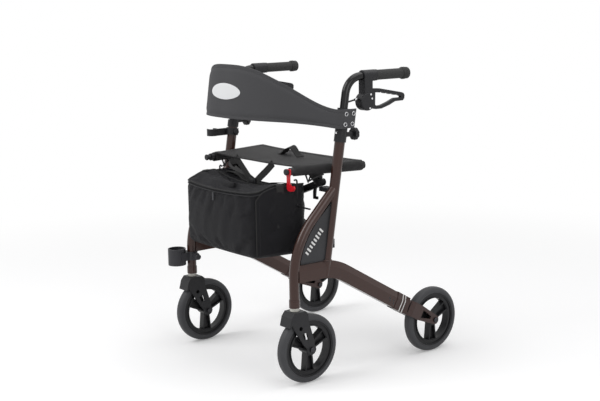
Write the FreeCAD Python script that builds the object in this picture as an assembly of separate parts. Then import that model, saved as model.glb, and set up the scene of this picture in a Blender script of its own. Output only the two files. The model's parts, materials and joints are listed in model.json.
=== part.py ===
import FreeCAD, Part

import math
import os

os.makedirs("parts", exist_ok=True)
V = FreeCAD.Vector

# A folding rollator walker. Millimetres. +X is the user's left, the casters and the bag are
# towards -Y, +Z is up, and the origin is on the floor under the middle of the object.

# ---- wheels
WHEEL_D = 200.0          # outside of the tyre
TYRE_W = 30.0
TYRE_DEPTH = 18.0        # from the rim's seat to the tread
RIM_BAND = 16.0          # radial depth of the rim's ring
RIM_W = 25.0
HUB_D = 32.0
SPOKES = 3
SPOKE_W = 22.0           # along the axle
SPOKE_RIB = 4.0
SPOKE_FOOT = 20.0        # spoke's width at the hub
SPOKE_HEAD = 32.0        # spoke's width at the rim
BEARING_D = 22.0
BEARING_W = 7.0
AXLE_D = 8.0
BOLT_HEAD_D = 16.0
BOLT_HEAD_H = 6.0
PLATE_T = 5.0            # fork plates beside the wheels
HUB_GAP = 1.0            # between a hub's end and the fork plate
HUB_L = 34.0
RUN_FIT = 0.1            # radial clearance of a turning pin
TYRE_GAP = 5.0           # between the tread and the housings round it

# ---- side frame
SIDE_X = 267.0           # middle plane of a side frame
WHEELBASE = 511.0        # from the caster pivot back to the rear axle
REAR_AXLE_Y = 245.0
REAR_WHEEL_X = 284.0
AXLE_Z = WHEEL_D / 2
PIVOT_Y = REAR_AXLE_Y - WHEELBASE
POST_D = 30.0
POST_FOOT_Y = -153.0
POST_FOOT_Z = 331.0
POST_TOP_Z = 690.0
POST_LEAN = 9.45
LEG_D = 28.0
LEG_WALL = 2.3
LEG_FOOT_Z = 226.5
LEG_CORNER_Z = 400.0     # where the upright run and the slanted run would meet
LEG_BEND_R = 230.0
LEG_CUFF_H = 22.0
LEG_CUFF_T = 1.6
ARM_W = 28.0
ARM_SIDE_H = 32.0        # upright face below the crease
ARM_ROOF_H = 18.0        # slanted facets above the crease
ARM_ROOF_W = 13.0
ARM_WALL = 2.5
ARM_Z = 313.0            # middle of the upright face on the level run
ARM_CORNER_Y = -130.8
ARM_BEND_R = 170.0
ARM_SLOPE = 30.6
ARM_END_Y = 105.0        # where the rear fork housing takes over
PANEL_T = 12.0

# ---- rear fork housing, along the arm's slope
SLEEVE_GROW = 1.5
SLEEVE_L = 60.0
HOUSING_LOW = 18.0
HOUSING_HIGH = 28.0
HOUSING_FLARE = 36.0     # where the housing starts to widen round the tyre
HOUSING_CORNER = 88.0
BOSS_R = 14.0
SHOE_T = 6.5
SHOE_GAP = 2.5
SHOE_W = 20.0
SHOE_PIN_D = 5.0

# ---- caster
CASTER_TRAIL = 42.0
CROWN_TOP_Z = 216.5
CROWN_T = 14.0
STEM_D = 12.0
STEM_TOP_Z = 260.0
SOCKET_FLANGE_D = 27.0
SOCKET_GAP = 0.5
CROWN_OUTLINE = [(-36, -40.5), (-29, -13.5), (-18, 0), (22, 0), (34, -10.5), (38, -28.5)]   # from the top
CASTER_PLATE = [(-27, 106), (-21, 72), (13, 18), (30, 0), (52, 0), (52, 22), (32, 86), (30, 108)]
CASTER_SLOT = [(9, 50), (24, 54), (30, 32), (18, 30)]    # these two from under the stem, at axle height
CASTER_HOLE_D = 12.0
CASTER_HOLE_AT = (4, 68)

# ---- handle
HANDLE_D = 23.0
HANDLE_WALL = 2.0
SLIDE_GAP = 0.4
HANDLE_FOOT_Z = 500.0
HANDLE_Z = 859.0
HANDLE_BEND_R = 56.0
HANDLE_END_Y = 159.0
GRIP_D = 28.0
GRIP_L = 126.0
GRIP_FLANGE_D = 34.0
GRIP_FLANGE_L = 24.0
GRIP_CAP_T = 4.0
COLLAR_D = 35.0
COLLAR_LOW_Z = 678.0
COLLAR_TOP_Z = 772.0
KNOB_D = 36.0
KNOB_T = 13.0
KNOB_LOBES = 8
KNOB_Z = 697.0
KNOB_STEM_D = 8.0
KNOB_REACH = 44.0        # from the post's axis to the knob's face
BRAKE_W = 32.0
BRAKE_DRUM_R = 26.0
BRAKE_DRUM_Y = 0.0
BRAKE_DRUM_Z = 786.0
BRAKE_NECK_L = 29.0
CLAMP_L = 50.0
CLAMP_D = 33.0
LEVER_T = 11.0
LEVER_PIVOT_Y = 13.0
LEVER_PIVOT_Z = 794.0
LEVER_PIN_D = 6.0
LEVER_HUB_R = 10.0
LEVER_OUTER = [
    (8, 28), (39, 26), (123, 10), (132, 7), (136, 1), (135, -9), (129, -14.5),
    (99, -15), (75, -24.5), (45, -32.5), (23, -32.5), (11, -30),
]                        # the loop's two outlines, from the lever's pivot
LEVER_INNER = [
    (22, 15.5), (39, 14), (119, -0.5), (123, -4), (120, -5.5), (97, -5.5), (72, -15),
    (45, -23), (27, -23.5), (21, -20),
]
LEVER_DIPS = 4           # finger places under the upper bar
LEVER_DIP_R = 13.0
LEVER_DIP_PITCH = 20.0
LEVER_DIP_AT = (45, 2.4)
LEVER_DIP_FALL = 0.181
LEVER_SPLIT = -1.5       # the dips stay above this height from the pivot, clear of the lower bar
CABLE_D = 5.0
CABLE_GAP = 0.4
ADJUSTER_D = 8.0
ADJUSTER_L = 13.0

# ---- X-brace, seat and fold
BRACE_Y = -130.0
BAR_T = 12.0
BAR_H = 20.0
BAR_GAP = 2.0            # between the two bars at the centre pin
LOWER_PIVOT_X = 240.0
LOWER_PIVOT_Z = 387.0
BRACE_ANGLE = 20.4
BAR_END_X = 238.0
REST_REACH = 8.0         # how far the rest reaches in under a bar's end
REST_GAP = 0.3
PIN_D = 8.0
BRACKET_T = 4.0
RAIL_D = 22.0
RAIL_Z = 600.0
RAIL_FRONT_X = 203.0
RAIL_FRONT_Y = -223.0
RAIL_REAR_X = 246.0
RAIL_REAR_Y = 8.0
SLING_T = 2.5
SLING_FRONT_Y = -208.0
SOFT_GAP = 0.4
STRAP_W = 25.0
STRAP_T = 2.0
PULL_STRAP_L = 104.0
PULL_STRAP_RISE = 26.0
PULL_STRAP_BACK = 35.0   # behind the middle of the sling
STRAP_ENDS = 12.0        # sewn down at each end of the pull strap
STRAP_CREST = 8.0        # half of its level top
STUD_D = 8.0
STUD_L = 9.0
END_KNOB_D = 18.0
END_KNOB_T = 7.0
LATCH_T = 5.0
LATCH_OUTLINE = [
    (-9, 8), (9, 8), (9, -8), (6, -14), (6, -35), (14, -40), (25, -38), (29, -44),
    (24, -52), (12, -55), (0, -54), (-6, -49), (-6, -14), (-9, -8),
]                        # from its pivot
LATCH_ROUND = 2.2
HOOK_D = 5.0             # wire of the bag hooks
HOOK_RISE = 78.0
HOOK_TIP = 12.0
GUSSET_T = 6.0
GUSSET_FRONT = 34.0      # reach of a gusset ahead of its bar, under the seat rail
GUSSET_REAR = 20.0
BAR_HOOK = [(0, 0), (-9, -20), (-9, -42), (10, -42), (10, -34), (0, -34), (3, -14), (9, 0)]
BAR_HOOK_T = 5.0
V_TOP_X = 95.0           # the V straps at the seat's hem
V_FOOT_X = 12.0          # and at the bag's top
V_SETBACK = 3.0
V_LEAN = 3.0
BUCKLE_W = 28.0
BUCKLE_H = 18.0
BUCKLE_T = 5.0

# ---- backrest band
TAB_REACH = 22.0         # from the post's plane out to the middle of an end tab
BAND_W = 2 * (SIDE_X + TAB_REACH)
BAND_T = 5.0
BAND_FRONT_Y = -315.0
BAND_CORNER_X = 107.7    # where the front run and a slanted run would meet
BAND_TAB_Y = -112.0      # where a slanted run and an end tab would meet
BAND_END_Y = -57.0
BAND_LEVEL_Z = 740.0     # height at which the plan outline is stated
BAND_TAB_LOW = 716.0
BAND_TAB_H = 55.0
BAND_LOW_RISE = 28.0
BAND_TOP_RISE = 125.0
RIVET_D = 9.0
RIVET_SHANK_D = 4.4
RIVET_PLACES = [(10, 13), (10, 42), (36, 13), (36, 42)]   # back from the tab's end, up from its edge
WING_T = 5.0             # plate on the collar that carries a tab
WING_BACK = 39.0

# ---- bag
BAG_FRONT_Y = -345.0
BAG_REAR_Y = -166.0
BAG_FRONT_HALF = 172.0
BAG_REAR_HALF = 198.0
BAG_LOW_Z = 362.0
BAG_TOP_Z = 536.0
BAG_WALL = 4.0
BAG_CORNER_R = 22.0
BAG_REAR_STRIP = 50.0
LID_T = 3.0

# ---- cane holder on the right side
CUP_X = -285.0
CUP_OUT_R = 28.0
CUP_BORE_R = 24.0
CUP_H = 52.0
CUP_TOP_Z = 309.0
CUP_FLOOR_T = 4.0
CUP_BAND_H = 26.0        # collar that grips the leg
CUP_BAND_T = 5.0
CUP_BAND_DROP = 38.0     # from the cup's rim down to the collar's foot
CUP_LUG_L = 26.0
CUP_LUG_W = 14.0
HOLDER_KNOB_D = 18.0
HOLDER_KNOB_T = 8.0
CLIP_Z = 664.0
CLIP_REACH = 62.0
CLIP_LUG = 20.0          # from the post's axis in to the clip's knob
CLIP_H = 22.0
CLIP_BAND_T = 4.5
CLIP_BORE_R = 13.0
CLIP_WALL = 4.0
CLIP_OUT = 22.0          # from the post's axis out to the jaw's middle
CLIP_BAR_T = 6.0
CLIP_KNOB_T = 6.0


# ---------------------------------------------------------------- helpers

def cyl(radius, length, base, axis):
    return Part.makeCylinder(radius, length, base, axis)


def ring(outer_r, inner_r, length, base, axis):
    return cyl(outer_r, length, base, axis).cut(cyl(inner_r, length, base, axis))


def cyl_mid(radius, length, middle, axis):
    """A cylinder centred on a point."""
    unit = V(axis).normalize()
    return cyl(radius, length, middle - unit * (length / 2), unit)


def box(x0, x1, y0, y1, z0, z1):
    return Part.makeBox(x1 - x0, y1 - y0, z1 - z0, V(x0, y0, z0))


def prism(points, sweep):
    return Part.Face(Part.makePolygon(points + points[:1])).extrude(sweep)


def slab_x(outline, x0, x1):
    """A plate with a (y, z) outline, from x0 to x1."""
    return prism([V(x0, y, z) for y, z in outline], V(x1 - x0, 0, 0))


def fuse(shapes):
    whole = shapes[0]
    for shape in shapes[1:]:
        whole = whole.fuse(shape)
    return whole.removeSplitter()


def route(points, radii):
    """Straight runs joined by tangent arcs, one radius for each inner point."""
    edges = []
    start = points[0]
    for i in range(1, len(points) - 1):
        before = V(points[i - 1] - points[i]).normalize()
        after = V(points[i + 1] - points[i]).normalize()
        half_turn = (math.pi - before.getAngle(after)) / 2
        tangent = radii[i - 1] * math.tan(half_turn)
        inward = V(before + after).normalize()
        rise = radii[i - 1] * (1 / math.cos(half_turn) - 1)
        arc_start = points[i] + before * tangent
        arc_end = points[i] + after * tangent
        edges.append(Part.LineSegment(start, arc_start).toShape())
        edges.append(Part.Arc(arc_start, points[i] + inward * rise, arc_end).toShape())
        start = arc_end
    edges.append(Part.LineSegment(start, points[-1]).toShape())
    return Part.Wire(edges)


def swept(path, profile):
    return path.makePipeShell([profile], True, False)


def rod(points, radii, diameter):
    """A round bar along a route."""
    start = points[0]
    profile = Part.Wire(Part.makeCircle(diameter / 2, start, points[1] - start))
    return swept(route(points, radii), profile)


def mirrored(shape):
    return shape.mirror(V(0, 0, 0), V(1, 0, 0))


def export(name, shape):
    shape.exportStep("parts/" + name + ".step")


def export_pair(name, shape):
    """The left piece as it is modelled, and its mirror image on the right."""
    export(name + "_left", shape)
    export(name + "_right", mirrored(shape))


# ---------------------------------------------------------------- side frame

LEAN = math.radians(POST_LEAN)
POST_AXIS = V(0, math.sin(LEAN), math.cos(LEAN))
SLOPE = math.radians(ARM_SLOPE)
ARM_ALONG = V(0, math.cos(SLOPE), -math.sin(SLOPE))
ARM_UP = V(0, math.sin(SLOPE), math.cos(SLOPE))
ARM_END_Z = ARM_Z - (ARM_END_Y - ARM_CORNER_Y) * math.tan(SLOPE)
ARM_END = V(SIDE_X, ARM_END_Y, ARM_END_Z)
POST_BORE_D = HANDLE_D + 2 * SLIDE_GAP


def post_at(z):
    """The point of the post's axis at a height."""
    return V(SIDE_X, POST_FOOT_Y + (z - POST_FOOT_Z) * math.tan(LEAN), z)


def along_arm(s, v, x):
    """A point in the sloping arm's own frame: s down the slope, v square to it."""
    point = ARM_END + ARM_ALONG * s + ARM_UP * v
    return V(x, point.y, point.z)


def arm_profile(grow):
    """The arm's section at its front end: an upright face with slanted facets above."""
    half = ARM_W / 2 + grow
    low = ARM_Z - ARM_SIDE_H / 2 - grow
    crease = ARM_Z + ARM_SIDE_H / 2 + grow * 0.5
    top = ARM_Z + ARM_SIDE_H / 2 + ARM_ROOF_H + grow
    roof = ARM_ROOF_W / 2 + grow * 0.7
    outline = [(-half, low), (half, low), (half, crease), (roof, top), (-roof, top), (-half, crease)]
    y = PIVOT_Y + LEG_D * 0.3
    corners = [V(SIDE_X + x, y, z) for x, z in outline]
    return Part.makePolygon(corners + corners[:1])


def arm_path():
    start = V(SIDE_X, PIVOT_Y + LEG_D * 0.3, ARM_Z)
    return route([start, V(SIDE_X, ARM_CORNER_Y, ARM_Z), ARM_END], [ARM_BEND_R])


def leg_route():
    """Upright over the caster, then a long bend back to the post's axis."""
    foot = V(SIDE_X, PIVOT_Y, LEG_FOOT_Z)
    corner = V(SIDE_X, PIVOT_Y, LEG_CORNER_Z)
    rise = (post_at(LEG_CORNER_Z).y - PIVOT_Y) / (1 - math.tan(LEAN))
    head = V(SIDE_X, PIVOT_Y + rise, LEG_CORNER_Z + rise)
    return [foot, corner, head]


def cable_points():
    """Adjuster, into the handle tube, down the post, and back along the arm to the shoe."""
    post_foot = post_at(POST_FOOT_Z - 21)
    drum_front = BRAKE_DRUM_Y - BRAKE_DRUM_R
    return [
        V(SIDE_X, drum_front - ADJUSTER_L, BRAKE_DRUM_Z + 7),
        V(SIDE_X, post_at(BRAKE_DRUM_Z).y, BRAKE_DRUM_Z),
        post_foot,
        V(SIDE_X, ARM_CORNER_Y + 38, ARM_Z - 24),
        along_arm(-30, 0, SIDE_X),
        along_arm(HOUSING_CORNER - 46, 6, SIDE_X + 6),
    ]


CABLE_RADII = [20.0, 30.0, 60.0, 60.0]


def cable_core(gap):
    return rod(cable_points(), CABLE_RADII, CABLE_D + 2 * gap)


def make_side_frame():
    post_foot = post_at(POST_FOOT_Z - 30)
    post_length = (post_at(POST_TOP_Z) - post_foot).Length
    post_solid = cyl(POST_D / 2, post_length, post_foot, POST_AXIS)
    post_bore = cyl(POST_BORE_D / 2, post_length, post_foot, POST_AXIS)
    leg_points = leg_route()
    leg_solid = rod(leg_points, [LEG_BEND_R], LEG_D)
    leg_bore = rod(leg_points, [LEG_BEND_R], LEG_D - 2 * LEG_WALL)
    cuff = ring(LEG_D / 2 + LEG_CUFF_T, LEG_D / 2, LEG_CUFF_H, leg_points[0], V(0, 0, 1))
    arm_solid = swept(arm_path(), arm_profile(0))
    arm_bore = swept(arm_path(), arm_profile(-ARM_WALL))
    cable_hole = cable_core(CABLE_GAP)

    arm = arm_solid.cut(arm_bore).cut(leg_solid).cut(cable_hole)
    leg = leg_solid.cut(leg_bore).fuse(cuff).cut(post_solid)
    post = post_solid.cut(post_bore).cut(arm_solid)
    knob_hole = cyl(KNOB_STEM_D / 2 + RUN_FIT, POST_D, post_at(KNOB_Z), V(0, 1, 0))
    post = post.cut(knob_hole)

    head = leg_points[2]
    bend_end_z = LEG_CORNER_Z + LEG_BEND_R * math.tan(math.pi / 8) * math.sin(math.pi / 4)
    bend_end_y = PIVOT_Y + bend_end_z - LEG_CORNER_Z
    mid_inset = LEG_BEND_R * (1 / math.cos(math.pi / 8) - 1)
    outline = [
        (PIVOT_Y, ARM_Z),
        (PIVOT_Y, ARM_Z + ARM_SIDE_H / 2),
        (PIVOT_Y + mid_inset, LEG_CORNER_Z - mid_inset * 0.4),
        (bend_end_y, bend_end_z),
        (head.y, head.z),
        (post_at(ARM_Z).y, ARM_Z),
    ]
    panel = slab_x(outline, SIDE_X - PANEL_T / 2, SIDE_X + PANEL_T / 2)
    panel = panel.cut(leg_solid).cut(post_solid).cut(arm_solid)
    panel = max(panel.Solids, key=lambda solid: solid.Volume)

    export_pair("post", post)
    export_pair("front_leg", leg)
    export_pair("lower_arm", max(arm.Solids, key=lambda solid: solid.Volume))
    export_pair("side_panel", panel)
    return post_solid


# ---------------------------------------------------------------- rear fork and brake shoe

PLATE_OUT = HUB_L / 2 + HUB_GAP + PLATE_T      # outer face of a fork plate, from the wheel's middle
REAR_AXLE = V(REAR_WHEEL_X, REAR_AXLE_Y, AXLE_Z)
AXLE_S = (REAR_AXLE - ARM_END).dot(ARM_ALONG)
AXLE_V = (REAR_AXLE - ARM_END).dot(ARM_UP)
CLEAR_R = WHEEL_D / 2 + TYRE_GAP
SHOE_IN_R = WHEEL_D / 2 + SHOE_GAP
SHOE_PIN_R = SHOE_IN_R + SHOE_T - 1
SHOE_PIN_V = 20.0
SHOE_PIN = along_arm(AXLE_S - math.sqrt(SHOE_PIN_R ** 2 - (SHOE_PIN_V - AXLE_V) ** 2), SHOE_PIN_V,
                     REAR_WHEEL_X)
X_AXIS = V(1, 0, 0)
Y_AXIS = V(0, 1, 0)
Z_AXIS = V(0, 0, 1)


def arm_slab(outline, x0, x1):
    """A plate with an (s, v) outline in the sloping arm's frame."""
    return prism([along_arm(s, v, x0) for s, v in outline], V(x1 - x0, 0, 0))


def make_rear_fork():
    sleeve_path = route_line(along_arm(0, 0, SIDE_X), along_arm(SLEEVE_L, 0, SIDE_X))
    half = ARM_W / 2 + SLEEVE_GROW
    low = -ARM_SIDE_H / 2 - SLEEVE_GROW
    crease = ARM_SIDE_H / 2
    top = ARM_SIDE_H / 2 + ARM_ROOF_H + SLEEVE_GROW
    roof = ARM_ROOF_W / 2 + SLEEVE_GROW
    outline = [(-half, low), (half, low), (half, crease), (roof, top), (-roof, top), (-half, crease)]
    corners = [along_arm(0, v, SIDE_X + x) for x, v in outline]
    sleeve = swept(sleeve_path, Part.makePolygon(corners + corners[:1]))

    outer = REAR_WHEEL_X + PLATE_OUT
    inner = REAR_WHEEL_X - PLATE_OUT
    plan = [
        (HOUSING_FLARE, SIDE_X - half),
        (HOUSING_FLARE, SIDE_X + half),
        (HOUSING_FLARE + 20, outer),
        (HOUSING_CORNER, outer),
        (HOUSING_CORNER, inner),
        (HOUSING_FLARE + 20, inner),
    ]
    low_face = [along_arm(s, -HOUSING_LOW, x) for s, x in plan]
    block = prism(low_face, ARM_UP * (HOUSING_LOW + HOUSING_HIGH))
    plate_outline = [
        (HOUSING_CORNER - 20, -HOUSING_LOW),
        (HOUSING_CORNER - 20, HOUSING_HIGH),
        (HOUSING_CORNER, HOUSING_HIGH),
        (AXLE_S, AXLE_V + BOSS_R),
        (AXLE_S, AXLE_V - BOSS_R),
        (HOUSING_CORNER, -HOUSING_LOW),
    ]
    window = [
        (HOUSING_CORNER + 8, HOUSING_HIGH - 10),
        (HOUSING_CORNER + 8, -HOUSING_LOW + 10),
        (AXLE_S - BOSS_R - 8, AXLE_V - 5),
        (AXLE_S - BOSS_R - 8, AXLE_V + 4),
    ]
    plates = []
    for x0 in (inner, outer - PLATE_T):
        plate = arm_slab(plate_outline, x0, x0 + PLATE_T)
        plate = plate.fuse(cyl(BOSS_R, PLATE_T, V(x0, REAR_AXLE_Y, AXLE_Z), X_AXIS))
        plates.append(plate.cut(arm_slab(window, x0, x0 + PLATE_T)))
    tyre_room = cyl_mid(CLEAR_R, 2 * (PLATE_OUT - PLATE_T), REAR_AXLE, X_AXIS)
    pocket = cyl_mid(SHOE_IN_R + SHOE_T + 4.5, SHOE_W + 3, REAR_AXLE, X_AXIS)
    pocket_band = arm_slab([(0, -13), (0, SHOE_PIN_V + 6), (AXLE_S, SHOE_PIN_V + 6), (AXLE_S, -13)],
                           inner, outer)
    fork = fuse([sleeve, block]).cut(tyre_room).cut(pocket.common(pocket_band))
    fork = fork.fuse(plates[0]).fuse(plates[1]).removeSplitter()
    fork = fork.cut(cyl_mid(AXLE_D / 2, 3 * PLATE_OUT, REAR_AXLE, X_AXIS))
    fork = fork.cut(cable_core(CABLE_GAP))
    pin = cyl_mid(SHOE_PIN_D / 2, SHOE_W + 9, SHOE_PIN, X_AXIS)
    fork = fork.cut(pin)
    export_pair("rear_fork", Part.makeCompound([fork, pin]))

    pad_band = [(0, -9), (0, SHOE_PIN_V + 3), (AXLE_S, SHOE_PIN_V + 3), (AXLE_S, -9)]
    pad = cyl_mid(SHOE_IN_R + SHOE_T, SHOE_W, REAR_AXLE, X_AXIS)
    pad = pad.cut(cyl_mid(SHOE_IN_R, SHOE_W, REAR_AXLE, X_AXIS))
    pad = pad.common(arm_slab(pad_band, inner, outer))
    pad = pad.fuse(cyl_mid(SHOE_T / 2 + 1.5, SHOE_W, SHOE_PIN, X_AXIS)).removeSplitter()
    pad = pad.cut(cyl_mid(SHOE_IN_R, SHOE_W, REAR_AXLE, X_AXIS))
    export_pair("brake_shoe", pad.cut(cyl_mid(SHOE_PIN_D / 2 + RUN_FIT, SHOE_W, SHOE_PIN, X_AXIS)))


def route_line(start, end):
    return Part.Wire([Part.LineSegment(start, end).toShape()])


# ---------------------------------------------------------------- wheels

RIM_R = WHEEL_D / 2 - TYRE_DEPTH


def wheel_rim(centre):
    """Rim ring, hub and double-rib spokes, with a bearing in each end of the hub."""
    rim = cyl_mid(RIM_R, RIM_W, centre, X_AXIS)
    rim = rim.cut(cyl_mid(RIM_R - RIM_BAND, RIM_W, centre, X_AXIS))
    for side in (-1, 1):
        groove_at = centre + V(side * RIM_W / 2, 0, 0)
        groove = cyl_mid(RIM_R - 4, 6, groove_at, X_AXIS)
        rim = rim.cut(groove.cut(cyl_mid(RIM_R - RIM_BAND + 3, 6, groove_at, X_AXIS)))
    pieces = [rim, cyl_mid(HUB_D / 2, HUB_L, centre, X_AXIS)]
    reach = RIM_R - RIM_BAND + 2
    for i in range(SPOKES):
        spoke = prism([
            centre + V(-SPOKE_W / 2, -SPOKE_FOOT / 2, HUB_D / 2 - 6),
            centre + V(-SPOKE_W / 2, SPOKE_FOOT / 2, HUB_D / 2 - 6),
            centre + V(-SPOKE_W / 2, SPOKE_HEAD / 2, reach),
            centre + V(-SPOKE_W / 2, -SPOKE_HEAD / 2, reach),
        ], V(SPOKE_W, 0, 0))
        for side in (-1, 1):
            hollow = prism([
                centre + V(side * 2, -SPOKE_FOOT / 2 + SPOKE_RIB, HUB_D / 2 + 4),
                centre + V(side * 2, SPOKE_FOOT / 2 - SPOKE_RIB, HUB_D / 2 + 4),
                centre + V(side * 2, SPOKE_HEAD / 2 - SPOKE_RIB, reach - 5),
                centre + V(side * 2, -SPOKE_HEAD / 2 + SPOKE_RIB, reach - 5),
            ], V(side * SPOKE_W, 0, 0))
            spoke = spoke.cut(hollow)
        spoke.rotate(centre, X_AXIS, 180 + i * 360 / SPOKES)
        pieces.append(spoke)
    rim = fuse(pieces)
    rim = rim.cut(cyl_mid(AXLE_D / 2 + 1, HUB_L, centre, X_AXIS))
    solids = []
    for side in (-1, 1):
        middle = centre + V(side * (HUB_L - BEARING_W) / 2, 0, 0)
        rim = rim.cut(cyl_mid(BEARING_D / 2, BEARING_W, middle, X_AXIS))
        bearing = cyl_mid(BEARING_D / 2, BEARING_W, middle, X_AXIS)
        solids.append(bearing.cut(cyl_mid(AXLE_D / 2 + RUN_FIT, BEARING_W, middle, X_AXIS)))
    return Part.makeCompound([rim] + solids)


def wheel_tyre(centre):
    """A solid tyre with rounded shoulders, seated on the rim."""
    tyre = cyl_mid(WHEEL_D / 2, TYRE_W, centre, X_AXIS)
    tyre = tyre.makeFillet(TYRE_W * 0.36, [e for e in tyre.Edges if is_circle(e)])
    return tyre.cut(cyl_mid(RIM_R, TYRE_W, centre, X_AXIS))


def is_circle(edge):
    return isinstance(edge.Curve, Part.Circle)


def axle_bolt(centre, outer_face, inner_face):
    """A bolt along X through two fork plates, with a domed head outside and a nut inside."""
    shank = cyl(AXLE_D / 2, outer_face + inner_face, centre - V(inner_face, 0, 0), X_AXIS)
    head = cyl(BOLT_HEAD_D / 2, BOLT_HEAD_H, centre + V(outer_face, 0, 0), X_AXIS)
    rim_edge = [e for e in head.Edges if is_circle(e) and e.BoundBox.XMin > head.BoundBox.XMax - 0.1]
    head = head.makeFillet(BOLT_HEAD_H * 0.4, rim_edge)
    nut = Part.makePolygon([
        centre + V(-inner_face, 7.5 * math.cos(k * math.pi / 3), 7.5 * math.sin(k * math.pi / 3))
        for k in range(7)
    ])
    nut = Part.Face(nut).extrude(V(-BOLT_HEAD_H, 0, 0))
    return fuse([shank, head, nut])


def make_rear_wheel():
    export_pair("rear_rim", wheel_rim(REAR_AXLE))
    export_pair("rear_tyre", wheel_tyre(REAR_AXLE))
    export_pair("rear_axle", axle_bolt(REAR_AXLE, PLATE_OUT, PLATE_OUT))


# ---------------------------------------------------------------- caster

CASTER_AXLE = V(SIDE_X, PIVOT_Y + CASTER_TRAIL, AXLE_Z)


def make_caster():
    pivot_y = PIVOT_Y
    crown_outline = [(pivot_y + y, CROWN_TOP_Z + z) for y, z in CROWN_OUTLINE]
    crown = slab_x(crown_outline, SIDE_X - PLATE_OUT, SIDE_X + PLATE_OUT)
    crown = crown.cut(cyl_mid(CLEAR_R + 1, 3 * PLATE_OUT, CASTER_AXLE, X_AXIS))
    pieces = [crown]
    plate_outline = [(pivot_y + y, AXLE_Z + z) for y, z in CASTER_PLATE]
    for x0 in (-PLATE_OUT, PLATE_OUT - PLATE_T):
        plate = slab_x(plate_outline, SIDE_X + x0, SIDE_X + x0 + PLATE_T)
        boss = cyl(BOSS_R + 1, PLATE_T, V(SIDE_X + x0, CASTER_AXLE.y, AXLE_Z), X_AXIS)
        pieces.append(plate.fuse(boss))
    fork = fuse(pieces)
    hole_at = V(SIDE_X, pivot_y + CASTER_HOLE_AT[0], AXLE_Z + CASTER_HOLE_AT[1])
    round_hole = cyl_mid(CASTER_HOLE_D / 2, 3 * PLATE_OUT, hole_at, X_AXIS)
    slot = slab_x([(pivot_y + y, AXLE_Z + z) for y, z in CASTER_SLOT],
                  SIDE_X - 2 * PLATE_OUT, SIDE_X + 2 * PLATE_OUT)
    fork = fork.cut(round_hole).cut(slot)
    stem_foot = CROWN_TOP_Z - CROWN_T
    stem = cyl(STEM_D / 2, STEM_TOP_Z - stem_foot, V(SIDE_X, pivot_y, stem_foot), Z_AXIS)
    fork = fork.fuse(stem.cut(cyl_mid(CLEAR_R + 1, PLATE_OUT, CASTER_AXLE, X_AXIS))).removeSplitter()
    fork = fork.cut(cyl_mid(AXLE_D / 2, 3 * PLATE_OUT, CASTER_AXLE, X_AXIS))
    export_pair("caster_fork", fork)

    flange_low = CROWN_TOP_Z + SOCKET_GAP
    flange = cyl(SOCKET_FLANGE_D / 2, LEG_FOOT_Z - flange_low, V(SIDE_X, pivot_y, flange_low), Z_AXIS)
    sleeve = cyl(LEG_D / 2 - LEG_WALL, STEM_TOP_Z + 6 - LEG_FOOT_Z, V(SIDE_X, pivot_y, LEG_FOOT_Z), Z_AXIS)
    socket = flange.fuse(sleeve).removeSplitter()
    stem_bore = cyl(STEM_D / 2 + RUN_FIT, STEM_TOP_Z + 1 - flange_low, V(SIDE_X, pivot_y, flange_low),
                    Z_AXIS)
    export_pair("caster_socket", socket.cut(stem_bore))
    export_pair("caster_rim", wheel_rim(CASTER_AXLE))
    export_pair("caster_tyre", wheel_tyre(CASTER_AXLE))
    export_pair("caster_axle", axle_bolt(CASTER_AXLE, PLATE_OUT, PLATE_OUT))


# ---------------------------------------------------------------- handle and brake

def make_handle():
    foot = post_at(HANDLE_FOOT_Z)
    corner = post_at(HANDLE_Z)
    end = V(SIDE_X, HANDLE_END_Y, HANDLE_Z)
    points = [foot, corner, end]
    tube = rod(points, [HANDLE_BEND_R], HANDLE_D)
    tube = tube.cut(rod(points, [HANDLE_BEND_R], HANDLE_D - 2 * HANDLE_WALL))
    export_pair("handle_tube", tube.cut(cable_core(CABLE_GAP)))

    grip_start = HANDLE_END_Y - GRIP_L + GRIP_CAP_T
    body = cyl(GRIP_D / 2, GRIP_L, V(SIDE_X, grip_start, HANDLE_Z), Y_AXIS)
    lip = cyl(GRIP_D / 2 + 2, 5, V(SIDE_X, grip_start, HANDLE_Z), Y_AXIS)
    end_y = grip_start + GRIP_L
    flange = cyl(GRIP_FLANGE_D / 2, GRIP_FLANGE_L, V(SIDE_X, end_y - GRIP_FLANGE_L, HANDLE_Z), Y_AXIS)
    flange = flange.makeFillet(2.5, [e for e in flange.Edges if is_circle(e)])
    bore = cyl(HANDLE_D / 2, GRIP_L - GRIP_CAP_T, V(SIDE_X, grip_start, HANDLE_Z), Y_AXIS)
    export_pair("grip", fuse([body, lip, flange]).cut(bore))

    make_brake(grip_start)


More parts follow.
